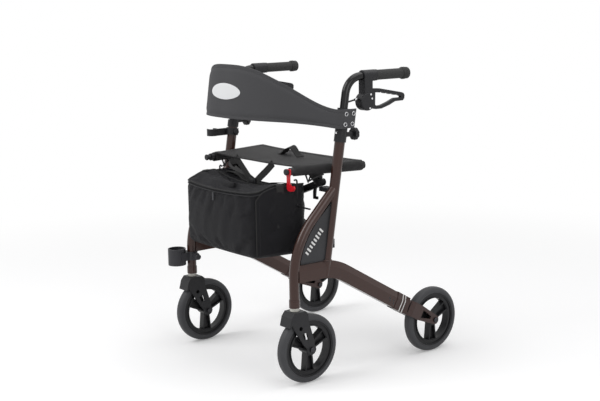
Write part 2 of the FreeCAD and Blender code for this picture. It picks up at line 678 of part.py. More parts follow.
def make_brake(grip_start):
    clamp_start = grip_start - CLAMP_L
    clamp = cyl(CLAMP_D / 2, CLAMP_L, V(SIDE_X, clamp_start, HANDLE_Z), Y_AXIS)
    clamp = clamp.makeFillet(2, [e for e in clamp.Edges if is_circle(e)])
    drum = cyl_mid(BRAKE_DRUM_R, BRAKE_W, V(SIDE_X, BRAKE_DRUM_Y, BRAKE_DRUM_Z), X_AXIS)
    drum = drum.makeFillet(5, [e for e in drum.Edges if is_circle(e)])
    neck_y = BRAKE_DRUM_Y + 3
    neck = box(SIDE_X - BRAKE_W / 2 + 2, SIDE_X + BRAKE_W / 2 - 2, neck_y - BRAKE_NECK_L / 2,
               neck_y + BRAKE_NECK_L / 2, BRAKE_DRUM_Z, HANDLE_Z)
    housing = fuse([clamp, neck, drum])
    housing = housing.cut(cyl(HANDLE_D / 2, CLAMP_L, V(SIDE_X, clamp_start, HANDLE_Z), Y_AXIS))
    slot_half = LEVER_T / 2 + 0.8
    slot = box(SIDE_X - slot_half, SIDE_X + slot_half, LEVER_PIVOT_Y - 15, LEVER_PIVOT_Y + 60,
               BRAKE_DRUM_Z - 60, BRAKE_DRUM_Z + 48)
    housing = housing.cut(slot)
    pivot = V(SIDE_X, LEVER_PIVOT_Y, LEVER_PIVOT_Z)
    pin = cyl_mid(LEVER_PIN_D / 2, BRAKE_W - 6, pivot, X_AXIS)
    housing = housing.cut(pin)
    screws = []
    for y, z in ((9, BRAKE_DRUM_Z + 20), (LEVER_PIVOT_Y, LEVER_PIVOT_Z), (5, BRAKE_DRUM_Z - 19)):
        for side in (-1, 1):
            face = V(SIDE_X + side * BRAKE_W / 2, y, z)
            screws.append(cyl(2.6, 1, face, V(side, 0, 0)))
    export_pair("brake_housing", Part.makeCompound([housing, pin] + screws))

    outer = [(LEVER_PIVOT_Y + y, LEVER_PIVOT_Z + z) for y, z in LEVER_OUTER]
    inner = [(LEVER_PIVOT_Y + y, LEVER_PIVOT_Z + z) for y, z in LEVER_INNER]
    loop = slab_x(outer, SIDE_X - LEVER_T / 2, SIDE_X + LEVER_T / 2)
    loop = loop.cut(slab_x(inner, SIDE_X - LEVER_T, SIDE_X + LEVER_T))
    upper = box(SIDE_X - LEVER_T, SIDE_X + LEVER_T, pivot.y, max(y for y, z in outer),
                pivot.z + LEVER_SPLIT, max(z for y, z in outer))
    for i in range(LEVER_DIPS):
        along = LEVER_DIP_PITCH * i
        dip_at = pivot + V(0, LEVER_DIP_AT[0] + along, LEVER_DIP_AT[1] - along * LEVER_DIP_FALL)
        loop = loop.cut(cyl_mid(LEVER_DIP_R, 2 * LEVER_T, dip_at, X_AXIS).common(upper))
    hub = cyl_mid(LEVER_HUB_R, LEVER_T, pivot, X_AXIS)
    lever = fuse([loop, hub]).cut(cyl_mid(LEVER_PIN_D / 2 + RUN_FIT, 2 * LEVER_T, pivot, X_AXIS))
    export_pair("brake_lever", lever)

    points = cable_points()
    adjuster_axis = V(points[0] - points[1]).normalize()
    adjuster = cyl(ADJUSTER_D / 2, ADJUSTER_L + 2, points[0], adjuster_axis)
    adjuster = adjuster.cut(drum)
    cable = cable_core(0)
    path_length = route(points, CABLE_RADII).Length
    print("cable length", round(path_length), "arcs", CABLE_RADII,
          "volume ratio", round(cable.Volume / (path_length * math.pi * CABLE_D ** 2 / 4), 4))
    export_pair("brake_cable", Part.makeCompound([cable, max(adjuster.Solids, key=lambda s: s.Volume)]))


def band_end_y(z):
    """Where the end of a band's tab lies at a height: it leans with the post."""
    return BAND_END_Y + (z - BAND_LEVEL_Z) * math.tan(LEAN)


def make_collar(post_solid):
    low = post_at(COLLAR_LOW_Z)
    height = (post_at(COLLAR_TOP_Z) - low).Length
    outer = cyl(COLLAR_D / 2, height, low, POST_AXIS)
    boss_length = KNOB_REACH - 3
    stem_start = post_at(KNOB_Z)
    boss = cyl(KNOB_STEM_D / 2 + 3, boss_length, stem_start, Y_AXIS)
    tube_room = cyl(POST_BORE_D / 2, height, low, POST_AXIS)
    stem_hole = cyl(KNOB_STEM_D / 2 + RUN_FIT, boss_length, stem_start, Y_AXIS)
    wing_face = BAND_W / 2 - BAND_T / 2 - SOFT_GAP
    wing_outline = []
    for back, z in ((WING_BACK, BAND_TAB_LOW + 5), (2, BAND_TAB_LOW + 5),
                    (2, BAND_TAB_LOW + BAND_TAB_H - 5), (WING_BACK, BAND_TAB_LOW + BAND_TAB_H - 5)):
        wing_outline.append((band_end_y(z) - back, z))
    wing = slab_x(wing_outline, wing_face - WING_T, wing_face)
    collar = fuse([outer, boss, wing]).cut(tube_room).cut(post_solid).cut(stem_hole)
    screw_at = post_at(KNOB_Z + 8) + V(0, -COLLAR_D / 2, 0)
    screw = cyl(3, 1.5, screw_at + V(0, -1, 0), Y_AXIS).cut(outer)
    export_pair("height_collar", Part.makeCompound([collar, screw]))

    stem_length = KNOB_REACH + KNOB_T / 2 - HANDLE_D / 2 - SLIDE_GAP - 1
    stem = cyl(KNOB_STEM_D / 2, stem_length, stem_start + V(0, HANDLE_D / 2 + SLIDE_GAP + 1, 0), Y_AXIS)
    face = stem_start + V(0, KNOB_REACH, 0)
    head = cyl(KNOB_D / 2, KNOB_T, face, Y_AXIS)
    head = head.makeFillet(2.5, [e for e in head.Edges if is_circle(e)])
    pitch_r = KNOB_D / 2 + 2.5
    for i in range(KNOB_LOBES):
        angle = 2 * math.pi * i / KNOB_LOBES
        notch_at = face + V(pitch_r * math.cos(angle), -1, pitch_r * math.sin(angle))
        head = head.cut(cyl(5.2, KNOB_T + 2, notch_at, Y_AXIS))
    export_pair("star_knob", fuse([head, stem]))


# ---------------------------------------------------------------- X-brace and seat

BRACE = math.radians(BRACE_ANGLE)
CENTRE_Z = LOWER_PIVOT_Z + LOWER_PIVOT_X * math.tan(BRACE)


def bar_y(which):
    """The two faces of a cross bar: the left seat rail's bar runs in front."""
    if which == "front":
        return BRACE_Y - BAR_GAP / 2 - BAR_T, BRACE_Y - BAR_GAP / 2
    return BRACE_Y + BAR_GAP / 2, BRACE_Y + BAR_GAP / 2 + BAR_T


def bar_z(x):
    """Height of the middle of the bar that rises to the left."""
    return LOWER_PIVOT_Z + (x + LOWER_PIVOT_X) * math.tan(BRACE)


def rail_at(y):
    """The point of the left seat rail's axis at a distance along the seat."""
    share = (y - RAIL_FRONT_Y) / (RAIL_REAR_Y - RAIL_FRONT_Y)
    return V(RAIL_FRONT_X + share * (RAIL_REAR_X - RAIL_FRONT_X), y, RAIL_Z)


def cross_arm(which):
    """Bar from the right lower pivot to the left end, with the gusset under its seat rail."""
    y0, y1 = bar_y(which)
    along = V(math.cos(BRACE), 0, math.sin(BRACE))
    up = V(-math.sin(BRACE), 0, math.cos(BRACE))
    foot = V(-LOWER_PIVOT_X, y0, LOWER_PIVOT_Z)
    head = V(BAR_END_X, y0, bar_z(BAR_END_X))
    corners = [foot - up * (BAR_H / 2), head - up * (BAR_H / 2), head + up * (BAR_H / 2),
               foot + up * (BAR_H / 2)]
    bar = prism(corners, V(0, BAR_T, 0))
    bar = bar.fuse(cyl(BAR_H / 2, BAR_T, foot, Y_AXIS)).fuse(cyl(BAR_H / 2, BAR_T, head, Y_AXIS))
    middle = (y0 + y1) / 2
    rail = rail_at(middle)
    web_low = bar_z(rail.x - 4)
    gusset_outline = [
        (middle - GUSSET_FRONT, RAIL_Z - RAIL_D * 0.4), (middle + GUSSET_REAR, RAIL_Z - RAIL_D * 0.4),
        (y1, web_low), (y0, web_low),
    ]
    gusset = slab_x(gusset_outline, rail.x - 1 - GUSSET_T, rail.x - 1)
    hook_at = V(rail.x - 2 - GUSSET_T, y0, bar_z(rail.x - 2 - GUSSET_T))
    hook = prism([hook_at + V(x, 0, z) for x, z in BAR_HOOK], V(0, BAR_HOOK_T, 0))
    arm = fuse([bar, gusset, hook])
    rail_axis = V(rail_at(RAIL_REAR_Y) - rail_at(RAIL_FRONT_Y)).normalize()
    arm = arm.cut(cyl_mid(RAIL_D / 2, 400, rail, rail_axis))
    arm = arm.cut(cyl_mid(PIN_D / 2 + RUN_FIT, 4 * BAR_T, V(-LOWER_PIVOT_X, BRACE_Y, LOWER_PIVOT_Z), Y_AXIS))
    centre_r = PIN_D / 2 if which == "front" else PIN_D / 2 + RUN_FIT
    return arm.cut(cyl_mid(centre_r, 4 * BAR_T, V(0, BRACE_Y, CENTRE_Z), Y_AXIS))


def make_brace(post_solid):
    export("cross_arm_left", cross_arm("front"))
    export("cross_arm_right", mirrored(cross_arm("rear")))
    centre = V(0, BRACE_Y, CENTRE_Z)
    bars = 2 * BAR_T + BAR_GAP
    pin = cyl_mid(PIN_D / 2, bars + 1, centre, Y_AXIS)
    for side in (-1, 1):
        head = cyl(PIN_D / 2 + 4, 3, centre + V(0, side * (bars / 2 + 0.5), 0), V(0, side, 0))
        pin = pin.fuse(head)
    washer = cyl_mid(PIN_D / 2 + 4, BAR_GAP - 1, centre, Y_AXIS)
    export("centre_pin", pin.fuse(washer).removeSplitter())
    export("brace_bracket_left", brace_bracket("rear", post_solid))
    export("brace_bracket_right", mirrored(brace_bracket("front", post_solid)))


def brace_bracket(which, post_solid):
    """Clevis and pin for a bar's foot, the rest under the other bar's head, and the bag hook."""
    y0, y1 = bar_y(which)
    low = y0 - 1 - BRACKET_T
    high = y1 + 1 + BRACKET_T
    post_x = SIDE_X - POST_D / 4
    clevis = box(LOWER_PIVOT_X - 12, post_x, low, high, LOWER_PIVOT_Z - 13, LOWER_PIVOT_Z + 13)
    gap_end = LOWER_PIVOT_X + BAR_H / 2 + 0.6
    clevis = clevis.cut(box(LOWER_PIVOT_X - 20, gap_end, y0 - 1, y1 + 1, 0, 2 * LOWER_PIVOT_Z))
    clevis = clevis.cut(post_solid)
    clevis = max(clevis.Solids, key=lambda solid: solid.Volume)
    middle = V(LOWER_PIVOT_X, (y0 + y1) / 2, LOWER_PIVOT_Z)
    pin_length = high - low + 4
    clevis = clevis.cut(cyl_mid(PIN_D / 2, 3 * pin_length, middle, Y_AXIS))
    pin = cyl_mid(PIN_D / 2, pin_length, middle, Y_AXIS)
    other = bar_y("front" if which == "rear" else "rear")
    rest_top = bar_z(BAR_END_X - REST_REACH) - BAR_H / 2 / math.cos(BRACE) - REST_GAP
    rest = box(BAR_END_X - REST_REACH, SIDE_X, other[0], post_at(rest_top).y, rest_top - 12, rest_top)
    leg_solid = rod(leg_route(), [LEG_BEND_R], LEG_D)
    rest = rest.cut(post_solid).cut(leg_solid)
    rest = max(rest.Solids, key=lambda solid: solid.Volume)
    hook_y = BAG_REAR_Y - 30
    taper = (BAG_REAR_HALF - BAG_FRONT_HALF) / (BAG_REAR_Y - BAG_FRONT_Y)
    hook_x = BAG_REAR_HALF - 30 * taper + HOOK_D / 2 + SOFT_GAP
    hook_z = BAG_TOP_Z - 40
    hook = rod([
        V(SIDE_X - LEG_D / 2 + 2, hook_y, hook_z), V(hook_x, hook_y, hook_z),
        V(hook_x, hook_y, hook_z + HOOK_RISE), V(hook_x - HOOK_TIP, hook_y, hook_z + HOOK_RISE - 4),
    ], [8, 5], HOOK_D)
    hook = hook.cut(leg_solid)
    hook = max(hook.Solids, key=lambda solid: solid.Volume)
    return Part.makeCompound([clevis, pin, rest, hook])


def seat_rail():
    axis = V(rail_at(RAIL_REAR_Y) - rail_at(RAIL_FRONT_Y))
    tube = ring(RAIL_D / 2, RAIL_D / 2 - 2, axis.Length, rail_at(RAIL_FRONT_Y), axis)
    unit = V(axis).normalize()
    caps = []
    for at, way in ((rail_at(RAIL_FRONT_Y), 1), (rail_at(RAIL_REAR_Y), -1)):
        plug = cyl(RAIL_D / 2 - 2, 12, at, unit * way)
        rim = cyl(RAIL_D / 2, 3, at, unit * -way)
        caps.append(plug.fuse(rim).removeSplitter())
    return [tube] + caps


def make_seat():
    front = rail_at(RAIL_FRONT_Y)
    pivot = front + V(0, -3, 0)
    stud = cyl(STUD_D / 2, STUD_L, pivot, V(0, -1, 0))
    small = cyl(END_KNOB_D / 2, END_KNOB_T, pivot + V(0, -STUD_L, 0), V(0, -1, 0))
    small = small.makeFillet(2, [e for e in small.Edges if is_circle(e)])
    export("seat_rail_left", Part.makeCompound(seat_rail() + [stud.fuse(small).removeSplitter()]))
    neck = cyl(END_KNOB_D / 2 - 2, STUD_L, pivot, V(0, -1, 0))
    export("seat_rail_right",
           mirrored(Part.makeCompound(seat_rail() + [neck.fuse(small).removeSplitter()])))
    make_latch(pivot)

    low = RAIL_Z + RAIL_D / 2 + SOFT_GAP
    rear = rail_at(RAIL_REAR_Y - 3)
    lead = rail_at(SLING_FRONT_Y)
    corners = [V(-lead.x, lead.y, low), V(lead.x, lead.y, low), V(rear.x, rear.y, low),
               V(-rear.x, rear.y, low)]
    sling = prism(corners, V(0, 0, SLING_T))
    export("seat_sling", sling)
    strap_y = (lead.y + rear.y) / 2 + PULL_STRAP_BACK
    strap_z = low + SLING_T + SOFT_GAP
    half = PULL_STRAP_L / 2
    right_top = [(STRAP_CREST, PULL_STRAP_RISE), (half - STRAP_ENDS, STRAP_T), (half, STRAP_T)]
    right_low = [(half, 0), (half - STRAP_ENDS - 1, 0), (STRAP_CREST - 1, PULL_STRAP_RISE - STRAP_T)]
    right = right_top + right_low
    outline = right + [(-x, z) for x, z in reversed(right)]
    export("pull_strap", prism([V(x, strap_y - STRAP_W / 2, strap_z + z) for x, z in outline],
                               V(0, STRAP_W, 0)))
    make_v_straps(lead.y)


def make_latch(pivot):
    """A J-shaped plate that hangs from the left rail's front stud."""
    y0 = pivot.y - 2 - LATCH_T
    plate = prism([V(pivot.x + x, y0, pivot.z + z) for x, z in LATCH_OUTLINE], V(0, LATCH_T, 0))
    upright = [e for e in plate.Edges if abs(e.tangentAt(e.FirstParameter).y) > 0.9]
    plate = plate.makeFillet(LATCH_ROUND, upright)
    export("fold_latch", plate.cut(cyl_mid(STUD_D / 2 + RUN_FIT, 4 * LATCH_T + 4 * STUD_L, pivot, Y_AXIS)))


def make_v_straps(front_y):
    """Two webbing straps from the seat's front hem down to the bag's top, and their buckle."""
    top_z = RAIL_Z + RAIL_D / 2
    foot_z = BAG_TOP_Z + SOFT_GAP
    solids = []
    for side in (-1, 1):
        top = V(side * V_TOP_X, front_y + V_SETBACK + V_LEAN, top_z)
        foot = V(side * V_FOOT_X, front_y + V_SETBACK, foot_z)
        wide = STRAP_W * 0.4
        corners = [top + V(-wide, 0, 0), top + V(wide, 0, 0), foot + V(wide, 0, 0), foot + V(-wide, 0, 0)]
        corners = [V(c.x, top.y if c.z == top_z else foot.y, c.z) for c in corners]
        solids.append(Part.Face(Part.makePolygon(corners + corners[:1])).extrude(V(0, -STRAP_T, 0)))
    buckle_y = front_y + V_SETBACK - STRAP_T
    buckle = box(-BUCKLE_W / 2, BUCKLE_W / 2, buckle_y - BUCKLE_T, buckle_y, foot_z + 2,
                 foot_z + 2 + BUCKLE_H)
    buckle = buckle.cut(solids[0]).cut(solids[1])
    buckle = max(buckle.Solids, key=lambda solid: solid.Volume)
    straps = solids[0].fuse(solids[1]).removeSplitter()
    export("v_straps", Part.makeCompound([straps, buckle]))


# ---------------------------------------------------------------- backrest band

def make_band():
    half = BAND_W / 2
    corner_low = V(BAND_CORNER_X, BAND_FRONT_Y, 0)
    corner_tab = V(half, BAND_TAB_Y, 0)
    end = V(half, BAND_END_Y, 0)
    plan = [end, corner_tab, corner_low]
    plan = plan + [V(-p.x, p.y, 0) for p in reversed(plan)]
    low = BAND_TAB_LOW - 10
    shift = V(0, (low - BAND_LEVEL_Z) * math.tan(LEAN), low)
    path = route([p + shift for p in plan], [40.0, 200.0, 200.0, 40.0])
    start = plan[0] + shift
    tall = BAND_TAB_H + BAND_LOW_RISE + BAND_TOP_RISE + 20
    section = Part.makePolygon([
        start + V(-BAND_T / 2, 0, 0), start + V(BAND_T / 2, 0, 0),
        start + V(BAND_T / 2, 0, 1), start + V(-BAND_T / 2, 0, 1), start + V(-BAND_T / 2, 0, 0),
    ])
    strip = swept(path, section)
    feet = [face for face in strip.Faces
            if abs(face.normalAt(0, 0).z) > 0.99 and face.CenterOfMass.z < low + 0.5]
    wall = fuse([face.extrude(V(0, tall * math.tan(LEAN), tall)) for face in feet])

    count = 16
    lower = []
    upper = []
    for i in range(-count, count + 1):
        share = abs(i) / count
        x = i / count * (half + BAND_T)
        lower.append(V(x, -500, BAND_TAB_LOW + BAND_LOW_RISE * (1 - share ** 3)))
        crest = 0.5 + 0.5 * math.cos(math.pi * share ** 1.6)
        upper.append(V(x, -500, BAND_TAB_LOW + BAND_TAB_H + BAND_TOP_RISE * crest))
    low_curve = Part.BSplineCurve()
    low_curve.interpolate(lower)
    top_curve = Part.BSplineCurve()
    top_curve.interpolate(upper)
    outline = Part.Wire([
        low_curve.toShape(),
        Part.LineSegment(lower[-1], upper[-1]).toShape(),
        top_curve.toShape(),
        Part.LineSegment(upper[0], lower[0]).toShape(),
    ])
    band = wall.common(Part.Face(outline).extrude(V(0, 700, 0)))

    rivets = []
    inner_x = half - BAND_T / 2 - SOFT_GAP
    outer_x = half + BAND_T / 2 + SOFT_GAP
    for back, up in RIVET_PLACES:
        z = BAND_TAB_LOW + up
        y = band_end_y(z) - back
        shank = cyl(RIVET_SHANK_D / 2, outer_x - inner_x, V(inner_x, y, z), X_AXIS)
        head = cyl(RIVET_D / 2, 2, V(outer_x, y, z), X_AXIS)
        rivets.append(shank.fuse(head).removeSplitter())
        band = band.cut(cyl_mid(RIVET_SHANK_D / 2 + SOFT_GAP, 3 * half, V(0, y, z), X_AXIS))
    export("backrest_band", band)
    export_pair("band_rivets", Part.makeCompound(rivets))


# ---------------------------------------------------------------- bag

def bag_outline(inset):
    """Half widths at the front and the rear, drawn in by a wall."""
    front = BAG_FRONT_Y + inset
    rear = BAG_REAR_Y - inset
    return [
        (-(BAG_FRONT_HALF - inset), front), (BAG_FRONT_HALF - inset, front),
        (BAG_REAR_HALF - inset, rear), (-(BAG_REAR_HALF - inset), rear),
    ]


def make_bag():
    height = BAG_TOP_Z - BAG_LOW_Z
    outside = prism([V(x, y, BAG_LOW_Z) for x, y in bag_outline(0)], V(0, 0, height))
    upright = [e for e in outside.Edges if abs(e.tangentAt(e.FirstParameter).z) > 0.9]
    outside = outside.makeFillet(BAG_CORNER_R, upright)
    inside = prism([V(x, y, BAG_LOW_Z + BAG_WALL) for x, y in bag_outline(BAG_WALL)], V(0, 0, height))
    upright = [e for e in inside.Edges if abs(e.tangentAt(e.FirstParameter).z) > 0.9]
    inside = inside.makeFillet(BAG_CORNER_R - BAG_WALL, upright)
    strip_y = BAG_REAR_Y - BAG_REAR_STRIP
    strip = outside.common(box(-300, 300, strip_y, BAG_REAR_Y, BAG_TOP_Z - LID_T, BAG_TOP_Z))
    export("bag_shell", outside.cut(inside).fuse(strip).removeSplitter())

    lid = outside.common(box(-300, 300, BAG_FRONT_Y - 1, strip_y - 1, BAG_TOP_Z - 1, BAG_TOP_Z))
    lid = Part.Face(lid.Faces[top_face(lid)].Wires).extrude(V(0, 0, LID_T))
    lid.translate(V(0, 0, SOFT_GAP))
    export("bag_lid", lid)


def top_face(shape):
    heights = [face.CenterOfMass.z for face in shape.Faces]
    return heights.index(max(heights))


# ---------------------------------------------------------------- cane holder

def make_cane_holder(post_solid):
    leg_x = -SIDE_X
    cup_y = PIVOT_Y - LEG_D / 2 - CUP_OUT_R - 1
    low = CUP_TOP_Z - CUP_H
    cup = cyl(CUP_OUT_R, CUP_H, V(CUP_X, cup_y, low), Z_AXIS)
    band_z = CUP_TOP_Z - CUP_BAND_DROP
    clamp = cyl(LEG_D / 2 + CUP_BAND_T, CUP_BAND_H, V(leg_x, PIVOT_Y, band_z), Z_AXIS)
    arm = box(CUP_X - 4, leg_x + 12, cup_y, PIVOT_Y, band_z, band_z + CUP_BAND_H)
    lug_end = leg_x + 8 + CUP_LUG_L
    lug = box(leg_x + 8, lug_end, PIVOT_Y - CUP_LUG_W / 2, PIVOT_Y + CUP_LUG_W / 2, band_z + 3,
              band_z + CUP_BAND_H - 3)
    holder = fuse([cup, clamp, arm, lug])
    holder = holder.cut(cyl(CUP_BORE_R, CUP_H, V(CUP_X, cup_y, low + CUP_FLOOR_T), Z_AXIS))
    holder = holder.cut(cyl(LEG_D / 2, 3 * CUP_BAND_H, V(leg_x, PIVOT_Y, band_z - CUP_BAND_H), Z_AXIS))
    knob_at = V(lug_end, PIVOT_Y, band_z + CUP_BAND_H / 2)
    export("cane_cup", Part.makeCompound([holder, holder_knob(HOLDER_KNOB_T, knob_at)]))

    at = post_at(CLIP_Z)
    right = V(-at.x, at.y, at.z)
    band = cyl_mid(POST_D / 2 + CLIP_BAND_T, CLIP_H, right, POST_AXIS)
    bar_x = right.x - 7
    reach = box(bar_x - CLIP_BAR_T, bar_x, at.y - CLIP_REACH, at.y, CLIP_Z - CLIP_H / 2, CLIP_Z + CLIP_H / 2)
    jaw_at = V(right.x - CLIP_OUT, at.y - CLIP_REACH, CLIP_Z)
    jaw = cyl_mid(CLIP_BORE_R + CLIP_WALL, CLIP_H, jaw_at, Z_AXIS)
    mouth = CLIP_BORE_R - 2
    jaw = jaw.cut(box(jaw_at.x - 3 * CLIP_BORE_R, jaw_at.x, jaw_at.y - mouth, jaw_at.y + mouth,
                      CLIP_Z - CLIP_H, CLIP_Z + CLIP_H))
    lug = box(right.x + 8, right.x + CLIP_LUG, at.y - 6, at.y + 6, CLIP_Z - 9, CLIP_Z + 9)
    clip = fuse([band, reach, jaw, lug])
    clip = clip.cut(mirrored(post_solid))
    clip = clip.cut(cyl_mid(CLIP_BORE_R, 2 * CLIP_H, jaw_at, Z_AXIS))
    knob = holder_knob(CLIP_KNOB_T, V(right.x + CLIP_LUG, at.y, CLIP_Z))
    export("cane_clip", Part.makeCompound([clip, knob]))


def holder_knob(thick, at):
    knob = cyl(HOLDER_KNOB_D / 2, thick, at, X_AXIS)
    return knob.makeFillet(2, [e for e in knob.Edges if is_circle(e)])


# ---------------------------------------------------------------- build

POST_SOLID = make_side_frame()
make_rear_fork()
make_rear_wheel()
make_caster()
make_handle()
make_collar(POST_SOLID)
make_brace(POST_SOLID)
make_seat()
make_band()
make_bag()
make_cane_holder(POST_SOLID)
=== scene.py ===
"""A folding rollator walker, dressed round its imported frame.

Metres, +Z up. +X is the user's left, the casters and the bag are towards -Y.
"""
from __future__ import annotations

import json
import logging
import math
import random
from dataclasses import dataclass, field
from enum import Enum
from typing import Callable, Iterable, Sequence

import bmesh
import bpy
from mathutils import Matrix, Vector

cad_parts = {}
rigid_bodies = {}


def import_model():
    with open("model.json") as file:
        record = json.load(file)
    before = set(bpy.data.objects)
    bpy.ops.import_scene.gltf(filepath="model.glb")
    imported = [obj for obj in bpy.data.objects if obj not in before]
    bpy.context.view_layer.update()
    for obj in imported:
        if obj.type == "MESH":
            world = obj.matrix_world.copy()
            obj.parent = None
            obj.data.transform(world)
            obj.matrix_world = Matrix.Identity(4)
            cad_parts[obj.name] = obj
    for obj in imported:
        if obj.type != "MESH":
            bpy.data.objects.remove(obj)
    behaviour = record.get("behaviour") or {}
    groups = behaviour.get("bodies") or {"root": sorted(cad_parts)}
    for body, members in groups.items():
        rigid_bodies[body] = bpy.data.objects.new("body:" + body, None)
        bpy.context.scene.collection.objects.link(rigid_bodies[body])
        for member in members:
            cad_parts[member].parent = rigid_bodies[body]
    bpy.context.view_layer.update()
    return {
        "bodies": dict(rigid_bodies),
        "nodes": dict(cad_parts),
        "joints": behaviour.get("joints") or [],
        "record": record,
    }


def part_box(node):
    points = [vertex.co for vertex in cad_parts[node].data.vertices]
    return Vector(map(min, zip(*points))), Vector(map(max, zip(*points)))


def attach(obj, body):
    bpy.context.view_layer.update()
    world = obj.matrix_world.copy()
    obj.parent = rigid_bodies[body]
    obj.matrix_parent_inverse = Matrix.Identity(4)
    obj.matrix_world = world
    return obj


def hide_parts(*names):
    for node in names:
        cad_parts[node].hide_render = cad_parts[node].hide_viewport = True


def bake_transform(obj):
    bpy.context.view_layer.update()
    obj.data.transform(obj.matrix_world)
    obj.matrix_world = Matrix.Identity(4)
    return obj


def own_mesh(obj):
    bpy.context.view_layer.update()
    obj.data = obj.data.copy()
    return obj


LOG = logging.getLogger("rollator")
CLOTH_MAP = "cloth"
Piece = bpy.types.Object
Place = Callable[[float, float], Vector]
UP = Vector((0.0, 0.0, 1.0))


# ------------------------------------------------------------------ shader groups and finishes

class Bench:
    """Adds and links the nodes of one shader tree."""

    def __init__(self, tree: bpy.types.NodeTree) -> None:
        """Keeps the tree to work on."""
        self.tree = tree

    def add(self, kind: str, inputs: dict[str, object] | None = None, **settings: object) -> bpy.types.Node:
        """Adds a node.

        Args:
            kind: The node's type, without its ShaderNode prefix.
            inputs: Values for named input sockets.
            settings: Values for the node's own properties.

        Returns:
            The new node.
        """
        node = self.tree.nodes.new("ShaderNode" + kind)
        for name, value in settings.items():
            setattr(node, name, value)
        for name, value in (inputs or {}).items():
            node.inputs[name].default_value = value
        return node

    def sum(self, kind: str, first: object, second: object = 0.5) -> bpy.types.NodeSocket:
        """Adds a Math node.

        Args:
            kind: The operation, such as MULTIPLY.
            first: A socket or a number.
            second: A socket or a number.

        Returns:
            The node's value socket.
        """
        node = self.add("Math", operation=kind)
        for socket, value in zip(node.inputs, (first, second)):
            if isinstance(value, bpy.types.NodeSocket):
                self.tree.links.new(value, socket)
            else:
                socket.default_value = value
        return node.outputs[0]

    def link(self, start: bpy.types.NodeSocket, end: bpy.types.NodeSocket) -> None:
        """Links one socket to another."""
        self.tree.links.new(start, end)


class Surface(Enum):
    """The relief of a finish, which is also its shader group's name."""

    MOULDED = "moulded_grain"
    SPRAYED = "sprayed_paint"
    WOVEN = "plain_weave"
    PEBBLED = "pebbled_vinyl"
    RIBBED = "ribbed_webbing"
    DRAWN = "drawn_metal"


def surface_group(surface: Surface) -> bpy.types.NodeTree:
    """Builds a relief's group once, with inputs Scale and Depth and outputs Mask and Normal.

    Args:
        surface: The relief.

    Returns:
        The shader group.
    """
    known = bpy.data.node_groups.get(surface.value)
    if known:
        return known
    tree = bpy.data.node_groups.new(surface.value, "ShaderNodeTree")
    tree.interface.new_socket("Scale", in_out="INPUT", socket_type="NodeSocketFloat")
    tree.interface.new_socket("Depth", in_out="INPUT", socket_type="NodeSocketFloat")
    tree.interface.new_socket("Mask", in_out="OUTPUT", socket_type="NodeSocketFloat")
    tree.interface.new_socket("Normal", in_out="OUTPUT", socket_type="NodeSocketVector")
    bench = Bench(tree)
    start = tree.nodes.new("NodeGroupInput")
    end = tree.nodes.new("NodeGroupOutput")
    if surface in (Surface.WOVEN, Surface.RIBBED):
        height = thread_height(bench, start.outputs["Scale"], surface)
    elif surface is Surface.PEBBLED:
        cells = bench.add("TexVoronoi", {"Randomness": 0.9}, feature="SMOOTH_F1")
        bench.link(bench.add("TexCoord").outputs["Object"], cells.inputs["Vector"])
        bench.link(start.outputs["Scale"], cells.inputs["Scale"])
        height = cells.outputs["Distance"]
    else:
        grain = bench.add("TexNoise", {"Detail": 4.0, "Roughness": 0.6})
        stretch = bench.add("Mapping")
        along = 0.06 if surface is Surface.DRAWN else 1.0
        stretch.inputs["Scale"].default_value = (1.0, 1.0, along)
        bench.link(bench.add("TexCoord").outputs["Object"], stretch.inputs["Vector"])
        bench.link(stretch.outputs["Vector"], grain.inputs["Vector"])
        bench.link(start.outputs["Scale"], grain.inputs["Scale"])
        height = grain.outputs["Fac"]
    bump = bench.add("Bump", {"Strength": 1.0})
    bench.link(height, bump.inputs["Height"])
    bench.link(start.outputs["Depth"], bump.inputs["Distance"])
    bench.link(height, end.inputs["Mask"])
    bench.link(bump.outputs["Normal"], end.inputs["Normal"])
    return tree


def thread_height(bench: Bench, scale: bpy.types.NodeSocket, surface: Surface) -> bpy.types.NodeSocket:
    """Threads that pass over and under each other on the piece's own map, in threads to the metre.

    Args:
        bench: The group's bench.
        scale: The socket with the threads to the metre.
        surface: WOVEN for cloth, or RIBBED for webbing with ribs across it.

    Returns:
        The height socket, from 0 to 1.
    """
    cloth = bench.add("UVMap", uv_map=CLOTH_MAP)
    sized = bench.add("VectorMath", operation="SCALE")
    bench.link(cloth.outputs["UV"], sized.inputs[0])
    bench.link(scale, sized.inputs["Scale"])
    parts = bench.add("SeparateXYZ")
    bench.link(sized.outputs[0], parts.inputs[0])
    warp = bench.sum("ABSOLUTE", bench.sum("SINE", bench.sum("MULTIPLY", parts.outputs["X"], math.pi)))
    if surface is Surface.RIBBED:
        return warp
    weft = bench.sum("ABSOLUTE", bench.sum("SINE", bench.sum("MULTIPLY", parts.outputs["Y"], math.pi)))
    steps = bench.sum("ADD", bench.sum("FLOOR", parts.outputs["X"]), bench.sum("FLOOR", parts.outputs["Y"]))
    over = bench.sum("PINGPONG", steps, 1.0)
    lifted = bench.sum("MULTIPLY", warp, over)
    return bench.sum("ADD", lifted, bench.sum("MULTIPLY", weft, bench.sum("SUBTRACT", 1.0, over)))


